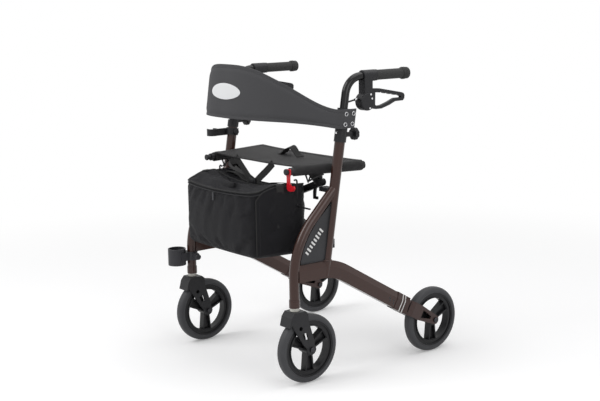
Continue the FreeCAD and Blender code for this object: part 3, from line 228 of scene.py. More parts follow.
def tone_group() -> bpy.types.NodeTree:
    """Builds the group that lets a colour and its gloss wander a little over a piece.

    Returns:
        The group, with inputs Colour, Shade, Gloss and Scale and outputs Colour and Roughness.
    """
    known = bpy.data.node_groups.get("uneven_tone")
    if known:
        return known
    tree = bpy.data.node_groups.new("uneven_tone", "ShaderNodeTree")
    tree.interface.new_socket("Colour", in_out="INPUT", socket_type="NodeSocketColor")
    for name in ("Shade", "Gloss", "Scale"):
        tree.interface.new_socket(name, in_out="INPUT", socket_type="NodeSocketFloat")
    tree.interface.new_socket("Colour", in_out="OUTPUT", socket_type="NodeSocketColor")
    tree.interface.new_socket("Roughness", in_out="OUTPUT", socket_type="NodeSocketFloat")
    bench = Bench(tree)
    start = tree.nodes.new("NodeGroupInput")
    end = tree.nodes.new("NodeGroupOutput")
    cloud = bench.add("TexNoise", {"Detail": 5.0, "Roughness": 0.55})
    bench.link(bench.add("TexCoord").outputs["Object"], cloud.inputs["Vector"])
    bench.link(start.outputs["Scale"], cloud.inputs["Scale"])
    swing = bench.sum("MULTIPLY", bench.sum("SUBTRACT", cloud.outputs["Fac"], 0.5), start.outputs["Shade"])
    bright = bench.add("HueSaturation")
    bench.link(start.outputs["Colour"], bright.inputs["Color"])
    bench.link(bench.sum("ADD", bench.sum("MULTIPLY", swing, 2.0), 1.0), bright.inputs["Value"])
    bench.link(bright.outputs["Color"], end.inputs["Colour"])
    bench.link(bench.sum("ADD", start.outputs["Gloss"], bench.sum("MULTIPLY", swing, 0.5)),
               end.inputs["Roughness"])
    return tree


@dataclass(frozen=True)
class Finish:
    """One finish of the walker, and the record's slot that it belongs to."""

    name: str
    slot: str
    colour: tuple[float, float, float]
    roughness: float
    surface: Surface = Surface.MOULDED
    scale: float = 900.0
    depth: float = 0.0002
    metallic: float = 0.0
    coat: float = 0.0
    sheen: float = 0.0
    specular: float = 0.25
    shade: float = 0.25
    tone_scale: float = 16.0

    def material(self) -> bpy.types.Material:
        """Builds the material once.

        Returns:
            The material.
        """
        known = bpy.data.materials.get(self.name)
        if known:
            return known
        made = bpy.data.materials.new(self.name)
        made.use_nodes = True
        made.node_tree.nodes.clear()
        bench = Bench(made.node_tree)
        shader = bench.add("BsdfPrincipled", {
            "Metallic": self.metallic, "Coat Weight": self.coat, "Coat Roughness": 0.12,
            "Sheen Weight": self.sheen, "Sheen Roughness": 0.5, "Specular IOR Level": self.specular,
        })
        relief = bench.add("Group", node_tree=surface_group(self.surface))
        relief.inputs["Scale"].default_value = self.scale
        relief.inputs["Depth"].default_value = self.depth
        tone = bench.add("Group", node_tree=tone_group())
        tone.inputs["Colour"].default_value = (*self.colour, 1.0)
        tone.inputs["Shade"].default_value = self.shade
        tone.inputs["Gloss"].default_value = self.roughness
        tone.inputs["Scale"].default_value = self.tone_scale
        bench.link(tone.outputs["Colour"], shader.inputs["Base Color"])
        bench.link(tone.outputs["Roughness"], shader.inputs["Roughness"])
        bench.link(relief.outputs["Normal"], shader.inputs["Normal"])
        out = bench.add("OutputMaterial")
        bench.link(shader.outputs["BSDF"], out.inputs["Surface"])
        return made


BRONZE = Finish("bronze_paint", "frame_paint", (0.040, 0.0148, 0.0100), 0.32, Surface.SPRAYED, 2600.0,
                0.00004, metallic=0.15, coat=0.6, specular=0.12, shade=0.14, tone_scale=9.0)
BROWN_MOULDED = Finish("fork_brown", "brown_plastic", (0.050, 0.028, 0.025), 0.40, scale=1500.0,
                       depth=0.00008, coat=0.15, shade=0.14)
BLACK_PAINT = Finish("handle_black_paint", "black_paint", (0.006, 0.0056, 0.006), 0.16, Surface.SPRAYED,
                     2600.0, 0.00002, coat=0.42, specular=0.10, shade=0.2)
BAR_PAINT = Finish("bar_black_paint", "black_paint", (0.012, 0.0115, 0.012), 0.38, Surface.SPRAYED,
                   2600.0, 0.00005, coat=0.15, shade=0.2)
BLACK_MOULDED = Finish("black_moulded", "black_plastic", (0.0185, 0.0185, 0.0205), 0.44)
RIM_MOULDED = Finish("rim_moulded", "black_plastic", (0.013, 0.013, 0.0145), 0.36, scale=1300.0,
                     depth=0.0001)
CUP_MOULDED = Finish("cup_moulded", "black_plastic", (0.041, 0.041, 0.046), 0.5)
GREY_MOULDED = Finish("panel_grey", "grey_plastic", (0.040, 0.040, 0.043), 0.52, scale=1500.0)
PALE_MOULDED = Finish("bush_pale", "pale_plastic", (0.66, 0.65, 0.60), 0.35, depth=0.0001, shade=0.08)
TYRE = Finish("tyre_rubber", "tyre", (0.046, 0.0465, 0.0505), 0.52, scale=700.0, depth=0.0003,
              specular=0.35, shade=0.3)
GRIP = Finish("grip_rubber", "grip_rubber", (0.045, 0.042, 0.043), 0.55, scale=1100.0, depth=0.0003,
              specular=0.35)
STEEL = Finish("zinc_steel", "steel", (0.62, 0.62, 0.63), 0.3, Surface.DRAWN, 700.0, 0.00004,
               metallic=1.0, shade=0.12)
DARK_STEEL = Finish("black_steel", "steel", (0.05, 0.05, 0.055), 0.26, Surface.DRAWN, 900.0, 0.00005,
                    metallic=0.8, shade=0.2)
BRIGHT_STEEL = Finish("screw_steel", "steel", (0.75, 0.75, 0.76), 0.22, Surface.DRAWN, 900.0, 0.00003,
                      metallic=1.0, shade=0.1)
BAG_CLOTH = Finish("bag_cloth", "black_fabric", (0.0085, 0.0083, 0.0102), 0.58, Surface.WOVEN, 900.0,
                   0.0003, sheen=0.006, specular=0.18, shade=0.3, tone_scale=11.0)
SEAT_CLOTH = Finish("seat_cloth", "black_fabric", (0.020, 0.0192, 0.0200), 0.66, Surface.WOVEN, 700.0,
                    0.0004, sheen=0.02, specular=0.28, shade=0.25, tone_scale=13.0)
VINYL = Finish("band_vinyl", "band_vinyl", (0.0205, 0.0197, 0.0236), 0.44, Surface.PEBBLED, 620.0, 0.00025,
               specular=0.30, shade=0.16, tone_scale=7.0)
WEBBING = Finish("webbing", "webbing", (0.0115, 0.0115, 0.0130), 0.66, Surface.RIBBED, 620.0, 0.0004,
                 sheen=0.01, specular=0.2)
THREAD = Finish("sewing_thread", "webbing", (0.040, 0.040, 0.043), 0.6, Surface.MOULDED, 1500.0)
RED = Finish("latch_red", "red_plastic", (0.62, 0.012, 0.022), 0.30, depth=0.00006, coat=0.3, shade=0.1)
SHEATH = Finish("cable_sheath", "cable_sheath", (0.014, 0.014, 0.015), 0.4, depth=0.0001)
BADGE = Finish("badge_white", "pale_plastic", (0.84, 0.85, 0.86), 0.25, depth=0.00004, coat=0.4,
               shade=0.04)
REFLECTIVE = Finish("reflective_tape", "pale_plastic", (0.78, 0.78, 0.77), 0.32, scale=1800.0,
                    depth=0.0001, shade=0.08)


# ------------------------------------------------------------------ making and fitting pieces

class Fold(Enum):
    """How a soft piece folds: the body it rides on, where it flattens to, and what it keeps."""

    BAG = ("right_frame", -0.212, 0.13)
    BAND = ("right_frame", -0.289, 0.386)
    SEAT_LEFT = ("arm_a", 0.225, 0.12)
    SEAT_RIGHT = ("arm_b", -0.225, 0.12)
    LID = ("lid", -0.212, 0.13)


def dress(piece: Piece, finish: Finish) -> None:
    """Gives a piece one finish."""
    piece.data.materials.clear()
    piece.data.materials.append(finish.material())


def fit(piece: Piece, body: str, finish: Finish) -> Piece:
    """Dresses a rigid piece and lets it ride on a body.

    Args:
        piece: The piece, in its place.
        body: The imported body's name.
        finish: Its finish.

    Returns:
        The same piece.
    """
    dress(piece, finish)
    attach(piece, body)
    LOG.info("%s rides on %s", piece.name, body)
    return piece


def fit_soft(piece: Piece, fold: Fold, finish: Finish) -> Piece:
    """Dresses a soft piece and lets it ride on its fold's body, with a mesh of its own.

    Args:
        piece: The piece, in its place.
        fold: Its fold, which gives the body that it rides on.
        finish: Its finish.

    Returns:
        The same piece.
    """
    body, anchor, keep = fold.value
    fit(piece, body, finish)
    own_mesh(piece)
    return piece


def select_only(piece: Piece) -> None:
    """Makes one piece the only selected and active one."""
    bpy.ops.object.select_all(action="DESELECT")
    piece.select_set(True)
    bpy.context.view_layer.objects.active = piece


def apply(piece: Piece, kind: str, **settings: object) -> None:
    """Adds a modifier and applies it.

    Args:
        piece: The piece.
        kind: The modifier's type.
        settings: Its values.
    """
    select_only(piece)
    modifier = piece.modifiers.new(kind.lower(), kind)
    for name, value in settings.items():
        setattr(modifier, name, value)
    bpy.ops.object.modifier_apply(modifier=modifier.name)


def named(name: str) -> Piece:
    """Names the newest primitive and its mesh, settles its place in its mesh, and returns it."""
    piece = bpy.context.object
    piece.name = name
    piece.data.name = name
    select_only(piece)
    bpy.ops.object.transform_apply(location=True, rotation=True, scale=True)
    return piece


def smooth(piece: Piece, degrees: float = 40.0) -> Piece:
    """Shades a piece smooth, apart from edges sharper than an angle."""
    select_only(piece)
    bpy.ops.object.shade_smooth_by_angle(angle=math.radians(degrees))
    return piece


def heal(piece: Piece, gap: float = 0.00002) -> None:
    """Merges a mesh's doubled points and turns its faces outwards."""
    select_only(piece)
    bpy.ops.object.mode_set(mode="EDIT")
    bpy.ops.mesh.select_all(action="SELECT")
    bpy.ops.mesh.remove_doubles(threshold=gap)
    bpy.ops.mesh.normals_make_consistent(inside=False)
    bpy.ops.object.mode_set(mode="OBJECT")


def shaped_grid(name: str, columns: int, rows: int, place: Place, cut: tuple[float, float],
                closed: bool = False) -> Piece:
    """A sheet that starts as a flat grid and is drawn to its shape.

    Args:
        name: The piece's name.
        columns: Cells along the first direction.
        rows: Cells along the second direction.
        place: Where a point goes, from its two shares of the sheet.
        cut: The sheet's flat size, which sets the scale of its map.
        closed: Whether the first direction comes back to its start.

    Returns:
        The sheet, with its faces towards the cross product of its two directions.
    """
    bpy.ops.object.select_all(action="DESELECT")
    bpy.ops.mesh.primitive_grid_add(x_subdivisions=columns, y_subdivisions=rows, size=1.0)
    piece = named(name)
    mesh = piece.data
    shares = [(v.co.x + 0.5, v.co.y + 0.5) for v in mesh.vertices]
    layer = mesh.uv_layers.active or mesh.uv_layers.new()
    layer.name = CLOTH_MAP
    for loop in mesh.loops:
        u, v = shares[loop.vertex_index]
        layer.data[loop.index].uv = (u * cut[0], v * cut[1])
    for vertex, (u, v) in zip(mesh.vertices, shares):
        vertex.co = place(u, v)
    if closed:
        select_only(piece)
        bpy.ops.object.mode_set(mode="EDIT")
        bpy.ops.mesh.select_all(action="SELECT")
        bpy.ops.mesh.remove_doubles(threshold=0.00001)
        bpy.ops.object.mode_set(mode="OBJECT")
    return piece


class Line:
    """A line through close points, read at any share of its length."""

    def __init__(self, points: Sequence[Vector]) -> None:
        """Measures the line.

        Args:
            points: Its points, in order.
        """
        self.points = list(points)
        self.marks = [0.0]
        for a, b in zip(self.points, self.points[1:]):
            self.marks.append(self.marks[-1] + (b - a).length)
        self.length = self.marks[-1]

    def at(self, share: float) -> Vector:
        """The point at a share of the length."""
        reach = min(max(share, 0.0), 1.0) * self.length
        low, high = 0, len(self.marks) - 1
        while high - low > 1:
            middle = (low + high) // 2
            if self.marks[middle] <= reach:
                low = middle
            else:
                high = middle
        span = max(self.marks[high] - self.marks[low], 1e-9)
        return self.points[low].lerp(self.points[high], (reach - self.marks[low]) / span)

    def along(self, share: float) -> Vector:
        """The line's direction at a share of the length."""
        step = 0.004
        return (self.at(share + step) - self.at(share - step)).normalized()


def rounded_line(corners: Sequence[Vector], radii: Sequence[float], closed: bool = False) -> Line:
    """Straight runs with a tangent arc at each corner.

    Args:
        corners: The corners, in order.
        radii: One radius for each inner corner, or for each corner of a closed line.
        closed: Whether the line comes back to its start.

    Returns:
        The line.
    """
    count = len(corners)
    inner = range(count) if closed else range(1, count - 1)
    points = [] if closed else [corners[0]]
    for place, radius in zip(inner, radii):
        corner = corners[place]
        back = (corners[place - 1] - corner).normalized()
        ahead = (corners[(place + 1) % count] - corner).normalized()
        half = back.angle(ahead) / 2
        middle = corner + (back + ahead).normalized() * (radius / math.sin(half))
        first = corner + back * (radius / math.tan(half))
        last = corner + ahead * (radius / math.tan(half))
        for step in range(13):
            spoke = (first - middle).normalized().slerp((last - middle).normalized(), step / 12)
            points.append(middle + spoke * (first - middle).length)
    points.append(points[0].copy() if closed else corners[-1])
    return Line(points)


def smooth_line(points: Sequence[Vector], steps: int = 10) -> Line:
    """A line that curves smoothly through a few points.

    Args:
        points: The points that it passes.
        steps: Pieces between two points.

    Returns:
        The line.
    """
    close = []
    last = len(points) - 1
    for i in range(last):
        a, b = points[max(i - 1, 0)], points[i]
        c, d = points[i + 1], points[min(i + 2, last)]
        for step in range(steps):
            t = step / steps
            close.append(0.5 * (2 * b + (c - a) * t + (2 * a - 5 * b + 4 * c - d) * t * t
                                + (3 * b - a - 3 * c + d) * t ** 3))
    close.append(points[last].copy())
    return Line(close)


def tube(name: str, points: Sequence[Vector], radius: float, closed: bool = False) -> Piece:
    """A round wire, cord edge or rod along a line.

    Args:
        name: The piece's name.
        points: The points of its middle line.
        radius: Its radius.
        closed: Whether it comes back to its start.

    Returns:
        The piece, as a mesh.
    """
    curve = bpy.data.curves.new(name, "CURVE")
    curve.dimensions = "3D"
    curve.bevel_depth = radius
    curve.bevel_resolution = 3
    curve.use_fill_caps = True
    spline = curve.splines.new("POLY")
    spline.points.add(len(points) - 1)
    for target, point in zip(spline.points, points):
        target.co = (*point, 1.0)
    spline.use_cyclic_u = closed
    piece = bpy.data.objects.new(name, curve)
    bpy.context.scene.collection.objects.link(piece)
    select_only(piece)
    bpy.ops.object.convert(target="MESH")
    piece = bpy.context.object
    piece.name = name
    return smooth(piece)


def strap(name: str, line: Line, across: Callable[[float], Vector], width: float, thick: float) -> Piece:
    """A flat webbing strap along a line.

    Args:
        name: The piece's name.
        line: Its middle line.
        across: The direction of its width at a share of its length.
        width: Its width.
        thick: Its thickness.

    Returns:
        The strap, with rounded edges.
    """
    def place(u: float, v: float) -> Vector:
        return line.at(u) + across(u).normalized() * (width * (v - 0.5))

    piece = shaped_grid(name, max(8, int(line.length / 0.006)), 6, place, (line.length, width))
    apply(piece, "SOLIDIFY", thickness=thick, offset=0.0)
    apply(piece, "BEVEL", width=thick * 0.35, segments=2, limit_method="ANGLE")
    return smooth(piece, 50)


def block(name: str, low: Sequence[float], high: Sequence[float], bevel: float) -> Piece:
    """A moulded block with rounded edges.

    Args:
        name: The piece's name.
        low: Its lowest corner.
        high: Its highest corner.
        bevel: The radius of its edges.

    Returns:
        The block.
    """
    low, high = Vector(low), Vector(high)
    bpy.ops.object.select_all(action="DESELECT")
    bpy.ops.mesh.primitive_cube_add(size=1.0, location=(low + high) / 2, scale=high - low)
    piece = named(name)
    apply(piece, "BEVEL", width=bevel, segments=3)
    return smooth(piece, 50)


def dome(name: str, centre: Vector, axis: Vector, radius: float, rise: float) -> Piece:
    """A low domed head, such as a rivet's, with its flat foot at a point.

    Args:
        name: The piece's name.
        centre: The middle of its foot.
        axis: The way that it points.
        radius: Its radius.
        rise: Its height.

    Returns:
        The dome.
    """
    bpy.ops.object.select_all(action="DESELECT")
    bpy.ops.mesh.primitive_uv_sphere_add(segments=20, ring_count=12, radius=1.0)
    piece = named(name)
    bpy.ops.object.mode_set(mode="EDIT")
    bpy.ops.mesh.select_all(action="SELECT")
    bpy.ops.mesh.bisect(plane_co=(0, 0, -0.02), plane_no=(0, 0, 1), clear_inner=True, use_fill=True)
    bpy.ops.object.mode_set(mode="OBJECT")
    turn = UP.rotation_difference(axis.normalized()).to_matrix().to_4x4()
    size = Matrix.Diagonal((radius, radius, rise, 1.0))
    piece.data.transform(Matrix.Translation(centre) @ turn @ size)
    return smooth(piece, 60)


def spun_ring(name: str, section: Sequence[tuple[float, float]], hub: Vector, steps: int) -> Piece:
    """A ring round a wheel's axle: a closed section, spun about +X.

    Args:
        name: The piece's name.
        section: Points as (radius, distance along the axle from the wheel's middle).
        hub: The wheel's middle.
        steps: Pieces round the wheel.

    Returns:
        The ring.
    """
    bpy.ops.object.select_all(action="DESELECT")
    bpy.ops.mesh.primitive_circle_add(vertices=len(section), radius=0.01)
    piece = named(name)
    for vertex, (radius, along) in zip(piece.data.vertices, section):
        vertex.co = hub + Vector((along, 0.0, radius))
    bpy.ops.object.mode_set(mode="EDIT")
    bpy.ops.mesh.select_all(action="SELECT")
    bpy.ops.mesh.spin(steps=steps, angle=math.tau, center=hub, axis=(1.0, 0.0, 0.0))
    bpy.ops.object.mode_set(mode="OBJECT")
    heal(piece)
    return smooth(piece, 35)


def gather(name: str, parts: Sequence[Piece]) -> Piece:
    """Joins like pieces into one.

    Args:
        name: The joined piece's name.
        parts: The pieces.

    Returns:
        The joined piece.
    """
    bpy.ops.object.select_all(action="DESELECT")
    for part in parts:
        part.select_set(True)
    bpy.context.view_layer.objects.active = parts[0]
    bpy.ops.object.join()
    piece = bpy.context.object
    piece.name = name
    piece.data.name = name
    return piece


def mirrored(piece: Piece, name: str) -> Piece:
    """A mirror image of a piece on the other side of the walker.

    Args:
        piece: The piece on the left.
        name: The image's name.

    Returns:
        The piece on the right, with its own mesh.
    """
    image = piece.copy()
    image.data = piece.data.copy()
    image.name = name
    image.data.name = name
    bpy.context.scene.collection.objects.link(image)
    image.data.transform(Matrix.Diagonal((-1.0, 1.0, 1.0, 1.0)))
    image.data.flip_normals()
    return image


def stitches(name: str, places: Iterable[tuple[Vector, Vector, Vector]], long: float = 0.0030,
             thick: float = 0.0006) -> Piece:
    """A seam's stitches, each a short rounded dash that is modelled once and copied.

    Args:
        name: The piece's name.
        places: Each stitch's middle, direction and outward normal.
        long: A stitch's length.
        thick: A stitch's thickness.

    Returns:
        The seam.
    """
    bpy.ops.object.select_all(action="DESELECT")
    bpy.ops.mesh.primitive_cylinder_add(vertices=6, radius=thick / 2, depth=long,
                                        rotation=(0.0, math.pi / 2, 0.0))
    piece = named(name)
    one = piece.data.copy()
    seam = bmesh.new()
    for middle, along, normal in places:
        side = normal.cross(along).normalized()
        turn = Matrix((along.normalized(), side, normal.normalized())).transposed().to_4x4()
        first = len(seam.verts)
        seam.from_mesh(one)
        seam.verts.ensure_lookup_table()
        bmesh.ops.transform(seam, matrix=Matrix.Translation(middle) @ turn, verts=seam.verts[first:])
    seam.to_mesh(piece.data)
    seam.free()
    bpy.data.meshes.remove(one)
    return smooth(piece)


def seam_places(face: Callable[[float], tuple[Vector, Vector]], length: float,
                pitch: float = 0.0048) -> list[tuple[Vector, Vector, Vector]]:
    """Spaces stitches evenly along a seam.

    Args:
        face: The point and the outward normal at a share of the seam.
        length: The seam's length.
        pitch: From one stitch to the next.

    Returns:
        Each stitch's middle, direction and outward normal.
    """
    count = max(2, int(length / pitch))
    places = []
    for i in range(count):
        share = (i + 0.5) / count
        point, normal = face(share)
        ahead, _ = face(min(share + 0.3 / count, 1.0))
        behind, _ = face(max(share - 0.3 / count, 0.0))
        places.append((point, (ahead - behind).normalized(), normal))
    return places


def joint_at(frame: dict, name: str) -> Vector:
    """Where a joint is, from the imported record."""
    found = [joint for joint in frame["joints"] if joint["name"] == name]
    return Vector(found[0]["pos_m"])


def middle_of(node: str) -> Vector:
    """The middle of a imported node's box."""
    low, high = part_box(node)
    return (Vector(low) + Vector(high)) / 2


class Side(Enum):
    """One side of the walker, and its sign along X."""

    LEFT = 1
    RIGHT = -1

    @property
    def word(self) -> str:
        """The side's name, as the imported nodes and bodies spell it."""
        return self.name.lower()


# ------------------------------------------------------------------ backrest band

@dataclass
class BackrestBand:
    """The padded band round the front, its badge place, seams and rivets."""

    half: float = 0.289
    front: float = -0.315
    corner: float = 0.1077
    tab_corner: float = -0.112
    tab_end: float = -0.057
    level: float = 0.740
    lean: float = math.radians(9.45)
    tab_low: float = 0.716
    tab_tall: float = 0.055
    low_rise: float = 0.028
    top_rise: float = 0.125
    edge_wall: float = 0.0036
    padding: float = 0.0042
    seam_inset: float = 0.010
    badge_half: tuple[float, float] = (0.068, 0.0228)
    badge_shift: float = 0.006
    rivets: tuple[tuple[float, float], ...] = ((0.010, 0.013), (0.010, 0.042), (0.036, 0.013),
                                               (0.036, 0.042))

    def __post_init__(self) -> None:
        """Lays out the band in plan, from the right tab round the front to the left tab."""
        corners = [Vector((-self.half, self.tab_end, 0)), Vector((-self.half, self.tab_corner, 0)),
                   Vector((-self.corner, self.front, 0)), Vector((self.corner, self.front, 0)),
                   Vector((self.half, self.tab_corner, 0)), Vector((self.half, self.tab_end, 0))]
        self.plan = rounded_line(corners, [0.040, 0.200, 0.200, 0.040])

    def reach(self, x: float) -> tuple[float, float]:
        """The band's lower and upper edge at a distance from the middle."""
        share = min(abs(x) / (self.half + 0.005), 1.0)
        low = self.tab_low + self.low_rise * (1 - share ** 3)
        crest = 0.5 + 0.5 * math.cos(math.pi * share ** 1.6)
        return low, self.tab_low + self.tab_tall + self.top_rise * crest

    def outward(self, share: float) -> Vector:
        """The direction away from the user at a share of the band."""
        along = self.plan.along(share)
        return Vector((along.y, -along.x, 0.0)).normalized()

    def inset(self, share: float, rise: float) -> float:
        """How far a place is from the band's nearest edge."""
        low, top = self.reach(self.plan.at(share).x)
        ends = min(share, 1 - share) * self.plan.length
        return min(rise * (top - low), (1 - rise) * (top - low), ends)

    def wall(self, share: float, rise: float) -> float:
        """The band's thickness: padded inside its seam, and thin at its edge."""
        inset = self.inset(share, rise)
        flat = min(max((abs(share - 0.5) - 0.36) / 0.07, 0.0), 1.0)
        pad = min(max((inset - self.seam_inset) / 0.012, 0.0), 1.0)
        seam = math.exp(-((inset - self.seam_inset) / 0.0022) ** 2)
        return self.edge_wall + self.padding * (1 - flat) * math.sin(pad * math.pi / 2) - 0.0012 * seam

    def place(self, share: float, rise: float, lift: float = 0.0) -> Vector:
        """A point of the band.

        Args:
            share: From the right tab's end to the left tab's end.
            rise: From the lower edge to the upper edge.
            lift: How far out from the middle of its thickness.

        Returns:
            The point.
        """
        point = self.plan.at(share)
        low, top = self.reach(point.x)
        z = low + (top - low) * rise
        slack = 0.0012 * math.sin(34 * share + 2 * rise) * math.sin(math.pi * rise)
        slack *= min(max((0.36 - abs(share - 0.5)) / 0.1, 0.0), 1.0)
        out = self.outward(share) * (lift + slack)
        return Vector((point.x, point.y + (z - self.level) * math.tan(self.lean), z)) + out

    def build(self) -> None:
        """Makes the band and everything that is sewn, fixed or riveted on it."""
        tall = self.tab_tall + self.top_rise
        band = shaped_grid("backrest_padding", 200, 44, self.place, (self.plan.length, tall))
        walls = band.vertex_groups.new(name="wall")
        most = self.edge_wall + self.padding
        columns = 201
        for vertex in band.data.vertices:
            share, rise = (vertex.index % columns) / 200, (vertex.index // columns) / 44
            walls.add([vertex.index], self.wall(share, rise) / most, "REPLACE")
        apply(band, "SOLIDIFY", thickness=most, offset=0.0, vertex_group="wall")
        apply(band, "BEVEL", width=0.0010, segments=2, limit_method="ANGLE",
              angle_limit=math.radians(50))
        smooth(band, 50)
        fit_soft(band, Fold.BAND, VINYL)
        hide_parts("backrest_band")
        for edge in ("lower", "upper"):
            self.sew(edge)
        self.add_badge()
        for side in Side:
            self.add_rivets(side)

    def sew(self, edge: str) -> None:
        """Sews the line of stitches along the lower or the upper edge."""
        def face(share: float) -> tuple[Vector, Vector]:
            place = 0.012 + 0.976 * share
            low, top = self.reach(self.plan.at(place).x)
            rise = self.seam_inset / (top - low)
            if edge == "upper":
                rise = 1 - rise
            lift = self.wall(place, rise) / 2 + 0.0001
            return self.place(place, rise, lift), self.outward(place)

        seam = stitches("backrest_stitches_" + edge, seam_places(face, self.plan.length, 0.0055), 0.0036)
        fit_soft(seam, Fold.BAND, THREAD)

    def add_badge(self) -> None:
        """The plain oval plate on the front, with nothing on it."""
        low, top = self.reach(0.0)
        middle_rise = 0.50

        def place(u: float, v: float) -> Vector:
            angle = math.tau * u
            share = 0.5 + (self.badge_shift + self.badge_half[0] * v * math.cos(angle)) / self.plan.length
            rise = middle_rise + self.badge_half[1] * v * math.sin(angle) / (top - low)
            crown = 0.0006 * (1 - v ** 6)
            return self.place(share, rise, self.wall(share, rise) / 2 + 0.0004 + crown)

        badge = shaped_grid("blank_badge", 56, 8, place, (0.2, 0.05), closed=True)
        heal(badge)
        if badge.data.polygons[0].normal.y > 0:
            badge.data.flip_normals()
        apply(badge, "SOLIDIFY", thickness=0.0012, offset=1.0)
        smooth(badge, 40)
        fit_soft(badge, Fold.BAND, BADGE)

    def add_rivets(self, side: Side) -> None:
        """The four domed rivets that hold a tab to the height collar, each ringed in bright steel: the ring
        is a painted highlight that stands in for the rivet's crescent glint.
        """
        heads, glint_rings = [], []
        for back, up in self.rivets:
            z = self.tab_low + up
            y = self.tab_end + (z - self.level) * math.tan(self.lean) - back
            foot = Vector((side.value * (self.half + 0.0022), y, z))
            heads.append(dome("rivet", foot, Vector((side.value, 0, 0)), 0.0046, 0.0030))
            shank_foot = Vector((side.value * (self.half - 0.0028), y, z))
            heads.append(tube("rivet_shank", [shank_foot, foot], 0.0021))
            # painted highlight: a thin bright steel ring round each rivet head stands in for its crescent
            # glint
            rim = [foot + Vector((side.value * 0.0006, 0.0052 * math.cos(math.tau * i / 24),
                                  0.0052 * math.sin(math.tau * i / 24))) for i in range(24)]
            glint_rings.append(tube("rivet_rim", rim, 0.0008, closed=True))
        rivets = gather("tab_rivets_" + side.word, heads)
        fit(rivets, side.word + "_frame", DARK_STEEL)
        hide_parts("band_rivets_" + side.word)
        # the bright rings are a painted highlight for the rivets' crescent glints, not a part of the rivets
        fit(gather("rivet_rims_" + side.word, glint_rings), side.word + "_frame", BRIGHT_STEEL)


# ------------------------------------------------------------------ seat

